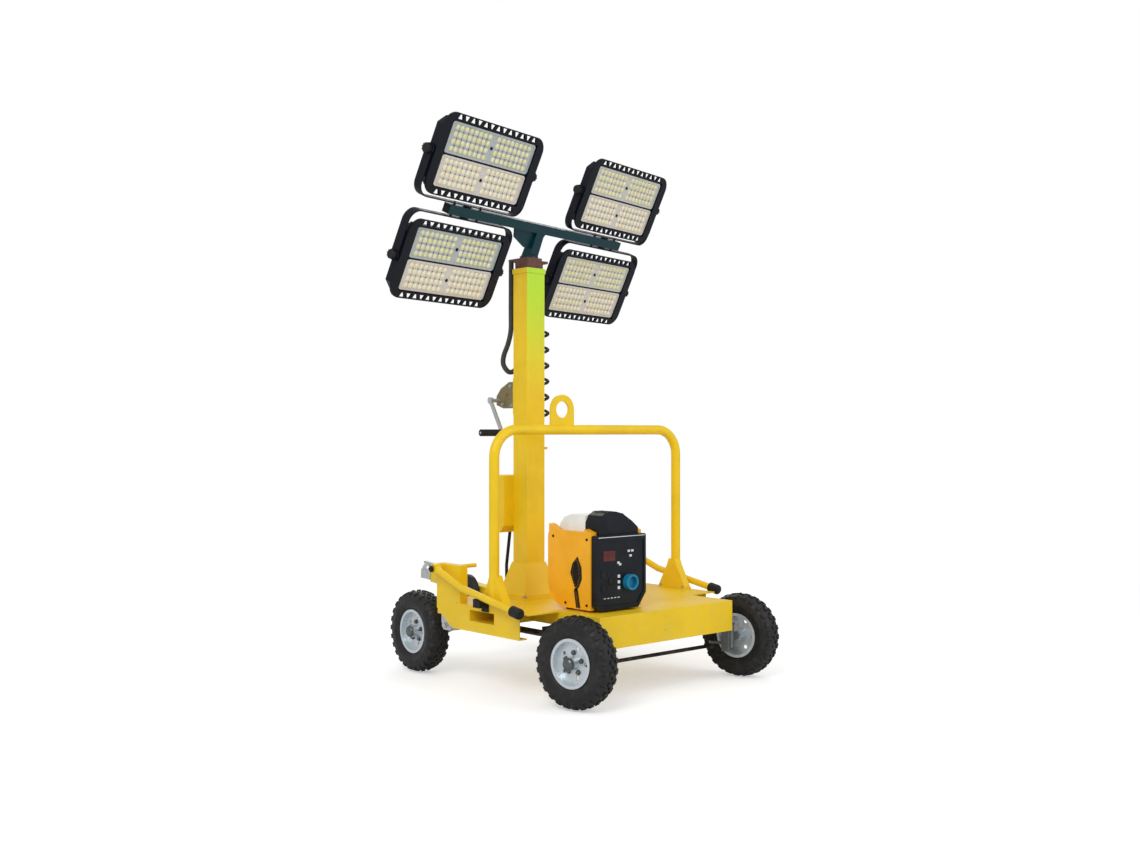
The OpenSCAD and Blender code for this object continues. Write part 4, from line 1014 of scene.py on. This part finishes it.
    def knobs(self) -> bpy.types.Object:
        """The ribbed knobs that clamp the yoke's ends, and stay with the yoke."""
        knobs = Shape()
        for sign in (-1, 1):
            at = self.axes() @ Matrix.Translation((0.0, sign * 0.378, 0.0)) @ turn(-90 * sign, "X")
            knobs.lathe([(0.0, -0.020), (0.0195, -0.020), (0.0205, -0.017), (0.0205, 0.0), (0.0175, 0.003), (0.0, 0.003)], 20, at)
            for k in range(10):
                spin = at @ Matrix.Rotation(math.tau * k / 10, 4, "Z")
                knobs.box((0.0195, -0.0022, -0.018), (0.0222, 0.0022, 0.001), spin)
        return knobs.piece("pivot_knobs_%d" % self.number, self.finishes["black_rubber"])

    def build(self, fasteners: "Fasteners") -> None:
        """Builds the lamp's pieces and lets them tilt with it."""
        bed = self.divider()
        pieces = [bed, *self.back_details(fasteners)]
        for row in (1, -1):
            pieces += [self.board(row), *self.lenses(row)]
        for piece in pieces:
            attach(piece, "lamp_unit_%d" % self.number)
        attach(self.knobs(), "head")
        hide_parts("glass_%d" % self.number)


@dataclass
class Generator:
    """The generator's fittings: controls, side louvres, top louvres and fill cap."""

    trees: Trees
    finishes: Finishes
    fasteners: "Fasteners"

    @staticmethod
    def on_panel() -> Matrix:
        """The axes of the control panel's face: x out of it, from the panel's lower middle."""
        return place(1.141, -0.204, 0.398)

    def controls(self) -> None:
        """The display, buttons, outlets and switches on the panel, and a pale strip of painted highlight along its top
        edge.
        """
        at = self.on_panel()
        dark, pale, screen = Shape(), Shape(), Shape()
        screen.box((-0.001, -0.112, 0.222), (0.0022, -0.040, 0.268), at)
        for y, z in ((0.044, 0.262), (0.066, 0.262), (0.055, 0.240), (-0.020, 0.212), (-0.010, 0.204)):
            pale.box((-0.001, y - 0.007, z - 0.005), (0.0028, y + 0.007, z + 0.005), at)
        for z in (0.098, 0.124, 0.150):
            pale.box((-0.001, -0.024, z - 0.007), (0.0026, -0.010, z + 0.007), at)
        for y, z in ((-0.104, 0.160), (-0.104, 0.100), (-0.060, 0.130)):
            dark.lathe([(0.0, -0.001), (0.021, -0.001), (0.021, 0.0026), (0.017, 0.0034), (0.016, 0.0008), (0.0, 0.0008)], 24,
                       at @ Matrix.Translation((0.0, y, z)) @ turn(90, "Y"))
        for k in range(5):
            pale.box((-0.001, -0.108 + k * 0.021, 0.052), (0.0016, -0.096 + k * 0.021, 0.056), at)
        self.set_down(dark.piece("panel_outlets", self.finishes["black_rubber"]))
        self.set_down(pale.piece("panel_switches", self.finishes["pale_plastic"], 0.0008))
        self.set_down(screen.piece("panel_display", self.finishes["screen_red"], 0.0010))
        # painted highlight: a thin pale strip along the panel's top edge, where the edge catches the light
        edge = Shape()
        edge.box((0.0030, -0.143, 0.3285), (0.0056, 0.143, 0.3320), at)
        self.set_down(edge.piece("panel_top_edge", self.finishes["pale_plastic"], 0.0008))

    def set_down(self, piece: bpy.types.Object) -> None:
        """Lets a piece stay with the cart."""
        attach(piece, "root")

    def louvres(self) -> None:
        """A dark bed and slats inside the leaf-shaped recess of each side, and in the slot below it."""
        leaf = [(-0.024, 0.004), (-0.014, 0.042), (0.010, 0.072), (0.028, 0.030), (0.030, -0.018), (0.016, -0.052),
                (0.002, -0.066), (-0.010, -0.034)]
        slot = [(0.001, -0.063), (0.011, -0.063), (0.028, -0.148), (0.015, -0.148)]
        for side in Side:
            name = side.name.lower()
            floor = -0.204 + side.value * 0.144
            bed, slats = Shape(), Shape()
            heights = sorted((side.value * 0.0004, side.value * -0.0096))
            middle = place(0.998, floor, 0.556) @ turn(90, "X")
            for outline in ([(x * 0.985, y * 0.985) for x, y in leaf], slot):
                bed.prism(outline, *heights, middle)
            for k in range(9):
                z = 0.556 - 0.052 + k * 0.0125
                reach = 0.023 * math.sin(math.pi * (k + 1.2) / 10.5)
                slats.box((0.998 - reach * 0.8, -0.0020, -0.0022), (1.001 + reach * 1.15, 0.0020, 0.0022),
                          place(0.0, floor + side.value * 0.0112, z) @ turn(-24 * side.value, "X"))
            proud = sorted((side.value * -0.0118, side.value * -0.0134))
            wide = [(x * 1.50 + 0.002, y * 1.13) for x, y in leaf]
            bed.ring(wide, [(x * 1.01, y * 1.01) for x, y in leaf], *proud, middle)
            bed.ring([(-0.008, -0.074), (0.019, -0.070), (0.037, -0.153), (0.008, -0.153)],
                     [(0.0, -0.064), (0.012, -0.064), (0.030, -0.150), (0.014, -0.150)], *proud, middle)
            self.set_down(bed.piece("recess_bed_" + name, self.finishes["black_rubber"]))
            self.set_down(slats.piece("side_louvres_" + name, self.finishes["gen_dark"]))

    def top(self) -> None:
        """Ribs on the dark hump and the fill cap on the pale cover."""
        ribs = Shape()
        for k in range(6):
            x = 1.040 + k * 0.014
            ribs.box((x, -0.282, 0.841), (x + 0.005, -0.232, 0.8438), place())
        self.set_down(ribs.piece("hump_ribs", self.finishes["gen_dark"], 0.0006))
        cap = Shape()
        cap.lathe([(0.0, -0.004), (0.026, -0.004), (0.026, 0.010), (0.022, 0.014), (0.0, 0.015)], 28, place(0.975, -0.204, 0.8255))
        self.set_down(cap.piece("fill_cap", self.finishes["gen_white"]))

    def bolts(self) -> None:
        """Small screws round the shell's sides."""
        spots = []
        for side in Side:
            face = -0.204 + side.value * 0.1562
            for x, z in ((0.840, 0.722), (1.080, 0.718), (1.080, 0.420), (0.930, 0.420)):
                spots.append(place(x, face, z) @ turn(-90 * side.value, "X"))
        self.set_down(self.trees.on_spots("shell_screws", self.fasteners.screw(0.006), spots, self.finishes["gen_dark"]))

    def build(self) -> None:
        """Builds the generator's fittings."""
        self.controls()
        self.louvres()
        self.top()
        self.bolts()


@dataclass
class Fittings:
    """Bolts, nuts, weld beads and latches of the cart and mast."""

    trees: Trees
    finishes: Finishes
    fasteners: "Fasteners"

    def bolts(self) -> None:
        """Bolt heads on the mast's foot plate and the loop's feet."""
        spots = []
        for x in (-1, 1):
            for y in (-1, 1):
                spots.append(on_mast(0.398) @ Matrix.Translation((x * 0.117, y * 0.117, 0.0)))
                spots.append(place(0.690 + x * 0.082, y * 0.564, 0.396))
        piece = self.trees.on_spots("deck_bolts", self.fasteners.bolt(0.017, 0.011), spots, self.finishes["bolt_steel"])
        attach(piece, "root")

    def winch_pins(self) -> None:
        """Nuts on the winch's cheeks."""
        spots = []
        for x, z in ((-0.072, 1.340), (-0.085, 1.436), (-0.150, 1.345)):
            spots.append(on_mast(z) @ Matrix.Translation((x, -0.0502, 0.0)) @ turn(90, "X"))
        piece = self.trees.on_spots("winch_nuts", self.fasteners.bolt(0.015, 0.008), spots, self.finishes["bolt_steel"])
        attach(piece, "root")

    def pivot_caps(self) -> None:
        """Black caps on the outer ends of the handles' pins."""
        caps = Shape()
        for side in Side:
            at = place(0.285, side.value * 0.661, 0.546) @ turn(-90 * side.value, "X")
            caps.lathe([(0.0, 0.0), (0.015, 0.0), (0.015, 0.008), (0.011, 0.012), (0.0, 0.013)], 18, at)
        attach(caps.piece("pivot_caps", self.finishes["black_rubber"]), "root")

    def box_door(self) -> None:
        """The control box's door seam, lock and hinges on its rear face."""
        door, lock = Shape(), Shape()
        at = on_mast(0.8475) @ Matrix.Translation((-0.177, -0.020, 0.0))
        door.prism(rounded(0.128, 0.082, 0.008, 3), 0.0, 0.0035, at @ turn(-90, "Y"))
        for z in (-0.085, 0.085):
            lock.rod(at @ Vector((-0.006, -0.086, z - 0.018)), at @ Vector((-0.006, -0.086, z + 0.018)), 0.005)
        lock.lathe([(0.0, 0.0), (0.012, 0.0), (0.012, 0.006), (0.004, 0.007), (0.004, 0.004), (0.0, 0.004)], 18,
                   at @ Matrix.Translation((-0.0035, 0.062, 0.0)) @ turn(-90, "Y"))
        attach(door.piece("box_door", self.finishes["yellow_coat"], 0.001), "root")
        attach(lock.piece("box_lock", self.finishes["black_rubber"]), "root")

    def welds(self) -> None:
        """Rounded weld beads where the mast's flare meets its plate."""
        bead = Shape()
        bead.lathe([(0.0, -0.0024), (0.0026, -0.001), (0.0032, 0.0008), (0.0018, 0.0026), (0.0, 0.0030)], 8)
        template = self.fasteners.template("bead_template", bead)
        spots = []
        half, count = 0.106, 30
        for k in range(count):
            t = -half + 2 * half * k / (count - 1)
            for x, y in ((t, half), (t, -half), (half, t), (-half, t)):
                spots.append(on_mast(0.3985) @ Matrix.Translation((x, y, 0.0)))
        piece = self.trees.on_spots("mast_weld", template, spots, self.finishes["yellow_coat"])
        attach(piece, "root")

    def bar_caps(self) -> None:
        """Black plugs in the ends of the crossbar."""
        bar = on_mast(HEAD_Z) @ turn(14, "Z") @ Matrix.Translation((0.062, 0.0, 0.138)) @ turn(25, "Y")
        plugs = Shape()
        for side in Side:
            at = bar @ Matrix.Translation((0.0, side.value * 0.674, 0.008)) @ turn(-90 * side.value, "X")
            plugs.prism(rounded(0.0175, 0.0175, 0.003, 2), 0.0, 0.0105, at)
        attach(plugs.piece("bar_plugs", self.finishes["black_rubber"], 0.001), "head")

    def build(self) -> None:
        """Builds the fittings."""
        self.bolts()
        self.winch_pins()
        self.pivot_caps()
        self.box_door()
        self.welds()
        self.bar_caps()


@dataclass
class Cables:
    """The coil beside the mast and the braided bundle behind it."""

    trees: Trees
    finishes: Finishes
    coil_at: Point = (-0.070, 0.130, 1.130)
    coil_h: float = 0.645
    coil_r: float = 0.038
    wire_r: float = 0.0078
    turns: int = 8

    def coil(self) -> None:
        """The curly cable, built at one length; the real one stretches as the mast rises."""
        base = on_mast() @ Vector(self.coil_at)
        steps = self.turns * 20
        path = []
        for i in range(steps + 1):
            t = i / steps
            ease = min(1.0, t * 12, (1 - t) * 12)
            a = math.tau * self.turns * t
            path.append(base + Vector((self.coil_r * ease * math.cos(a), self.coil_r * ease * math.sin(a), self.coil_h * t)))
        piece = self.trees.cable("coil_cable", path, self.wire_r, self.finishes["black_rubber"], 8)
        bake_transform(piece)
        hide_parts("cable_coil")

    def loom(self) -> None:
        """The leads' braided sleeve, a long bight that hangs behind the mast."""
        m = on_mast()
        x, top = -0.093, 2.059
        path = [(x, -0.040, top), (x + 0.002, -0.042, 1.95), (x - 0.003, -0.039, 1.82), (x, -0.042, 1.72),
                (x - 0.010, -0.052, 1.65), (x - 0.024, -0.068, 1.59), (x - 0.025, -0.070, 1.545), (x - 0.012, -0.050, 1.510),
                (x - 0.003, -0.024, 1.512), (x, -0.004, 1.545), (x, 0.001, 1.68), (x - 0.003, -0.001, 1.80),
                (x + 0.002, 0.001, 1.95), (x, 0.0, top)]
        piece = self.trees.cable("lamp_bundle", [m @ p for p in smooth_path(path, 6)], 0.0125, self.finishes["braided_sleeve"], 12)
        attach(piece, "mast_slider")
        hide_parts("lamp_loom")

    def build(self) -> None:
        """Builds the cables."""
        self.coil()
        self.loom()


@dataclass
class Stage:
    """A pale floor, soft light and the camera at the photograph's place."""

    camera_at: Point = (5.087, -3.903, 1.206)
    heading: float = 43.263
    focal_px: float = 1258.64
    middle_px: tuple[float, float] = (644.86, 432.0)
    frame_px: tuple[float, float] = (1140.0, 855.0)

    def camera(self) -> None:
        """The camera, level and turned as the photograph's."""
        data = bpy.data.cameras.new("camera")
        data.sensor_fit = "HORIZONTAL"
        data.sensor_width = 36.0
        data.lens = self.focal_px / self.frame_px[0] * 36.0
        data.shift_x = (self.frame_px[0] / 2 - self.middle_px[0]) / self.frame_px[0]
        data.shift_y = (self.middle_px[1] - self.frame_px[1] / 2) / self.frame_px[0]
        data.clip_end = 200.0
        camera = bpy.data.objects.new("camera", data)
        c, s = math.cos(math.radians(self.heading)), math.sin(math.radians(self.heading))
        columns = ((s, 0.0, c, self.camera_at[0]), (c, 0.0, -s, self.camera_at[1]), (0.0, 1.0, 0.0, self.camera_at[2]), (0.0, 0.0, 0.0, 1.0))
        camera.matrix_world = Matrix(columns)
        bpy.context.scene.collection.objects.link(camera)
        bpy.context.scene.camera = camera

    def lamp(self, name: str, at: Point, size: float, power: float) -> None:
        """A square soft light that looks at the middle of the tower."""
        data = bpy.data.lights.new(name, "AREA")
        data.size = size
        data.energy = power
        light = bpy.data.objects.new(name, data)
        light.location = at
        light.rotation_euler = (Vector((0.0, 0.0, 1.1)) - Vector(at)).to_track_quat("-Z", "Y").to_euler()
        bpy.context.scene.collection.objects.link(light)

    def world(self) -> None:
        """A plain sky: white where it is seen, softer where it only lights."""
        world = bpy.data.worlds.new("sky")
        world.use_nodes = True
        nodes, links = world.node_tree.nodes, world.node_tree.links
        nodes.clear()
        rays = nodes.new("ShaderNodeLightPath")
        seen = nodes.new("ShaderNodeMath")
        seen.operation = "MAXIMUM"
        links.new(rays.outputs["Is Camera Ray"], seen.inputs[0])
        links.new(rays.outputs["Is Transmission Ray"], seen.inputs[1])
        strength = nodes.new("ShaderNodeMapRange")
        strength.inputs["To Min"].default_value = 0.62
        strength.inputs["To Max"].default_value = 1.0
        links.new(seen.outputs[0], strength.inputs["Value"])
        sky = nodes.new("ShaderNodeBackground")
        sky.inputs["Color"].default_value = (1.0, 1.0, 1.0, 1.0)
        links.new(strength.outputs["Result"], sky.inputs["Strength"])
        out = nodes.new("ShaderNodeOutputWorld")
        links.new(sky.outputs[0], out.inputs["Surface"])
        bpy.context.scene.world = world

    def floor(self) -> None:
        """A wide floor that shows white to the camera except where a shadow falls."""
        mesh = bpy.data.meshes.new("floor")
        mesh.from_pydata([(-40, -40, 0), (40, -40, 0), (40, 40, 0), (-40, 40, 0)], [], [(0, 1, 2, 3)])
        g = Graph("floor_white")
        g.set(Roughness=0.9)
        g.shader.inputs["Base Color"].default_value = (0.80, 0.80, 0.80, 1.0)
        rays = g.add("ShaderNodeLightPath")
        glow = g.add("ShaderNodeEmission")
        plain = g.add("ShaderNodeEmission")
        glow.inputs["Strength"].default_value = 0.42
        plain.inputs["Strength"].default_value = 1.0
        both = g.add("ShaderNodeAddShader")
        g.join(g.shader.outputs[0], both.inputs[0])
        g.join(glow.outputs[0], both.inputs[1])
        far = g.add("ShaderNodeVectorMath", operation="LENGTH")
        g.join(g.where, far.inputs[0])
        fade = g.add("ShaderNodeMixShader")
        g.join(g.span(far.outputs["Value"], 2.0, 6.0, 0.0, 1.0), fade.inputs[0])
        g.join(both.outputs[0], fade.inputs[1])
        g.join(plain.outputs[0], fade.inputs[2])
        split = g.add("ShaderNodeMixShader")
        g.join(rays.outputs["Is Camera Ray"], split.inputs[0])
        g.join(g.shader.outputs[0], split.inputs[1])
        g.join(fade.outputs[0], split.inputs[2])
        g.join(split.outputs[0], g.tree.nodes["Material Output"].inputs["Surface"])
        mesh.materials.append(g.material)
        floor = bpy.data.objects.new("floor", mesh)
        bpy.context.scene.collection.objects.link(floor)

    def build(self) -> None:
        """Sets the whole stage."""
        self.camera()
        self.world()
        self.floor()
        self.lamp("key", (3.2, -4.6, 4.8), 3.0, 150.0)
        self.lamp("fill", (5.2, 2.6, 3.2), 3.0, 60.0)
        self.lamp("back", (-4.2, 2.8, 4.0), 3.0, 50.0)
        bpy.context.scene.view_settings.view_transform = "Standard"


def main() -> None:
    """Builds every sub-assembly in order and reports each."""
    logging.basicConfig(level=logging.INFO, format="%(message)s")
    Stage().build()
    LOG.info("stage set")
    finishes = Finishes()
    finishes.dress_nodes()
    LOG.info("nodes dressed")
    trees = Trees()
    fasteners = Fasteners(trees, finishes)
    Cables(trees, finishes).build()
    LOG.info("cables laid")
    reach = 0.090
    a, b = math.radians(10), math.radians(11)
    wheels = (
        ("rear_a", Side.A, (0.0, -0.545, 0.205), 0.0),
        ("rear_b", Side.B, (0.0, 0.545, 0.205), 0.0),
        ("front_a", Side.A, (1.210 + reach * math.sin(a), -0.455 - reach * math.cos(a), 0.205), 10.0),
        ("front_b", Side.B, (1.210 - reach * math.sin(b), 0.455 + reach * math.cos(b), 0.205), 11.0),
    )
    for name, side, centre, steer in wheels:
        Wheel(name, side, centre, steer, trees, finishes).build(fasteners)
        LOG.info("wheel %s built", name)
    for number, (side, row) in enumerate(((Side.A, 1), (Side.B, 1), (Side.A, -1), (Side.B, -1)), 1):
        Lamp(number, side, row, trees, finishes).build(fasteners)
        LOG.info("lamp %d built", number)
    Generator(trees, finishes, fasteners).build()
    LOG.info("generator fitted")
    Fittings(trees, finishes, fasteners).build()
    LOG.info("fittings placed")


if __name__ == "__main__":
    main()
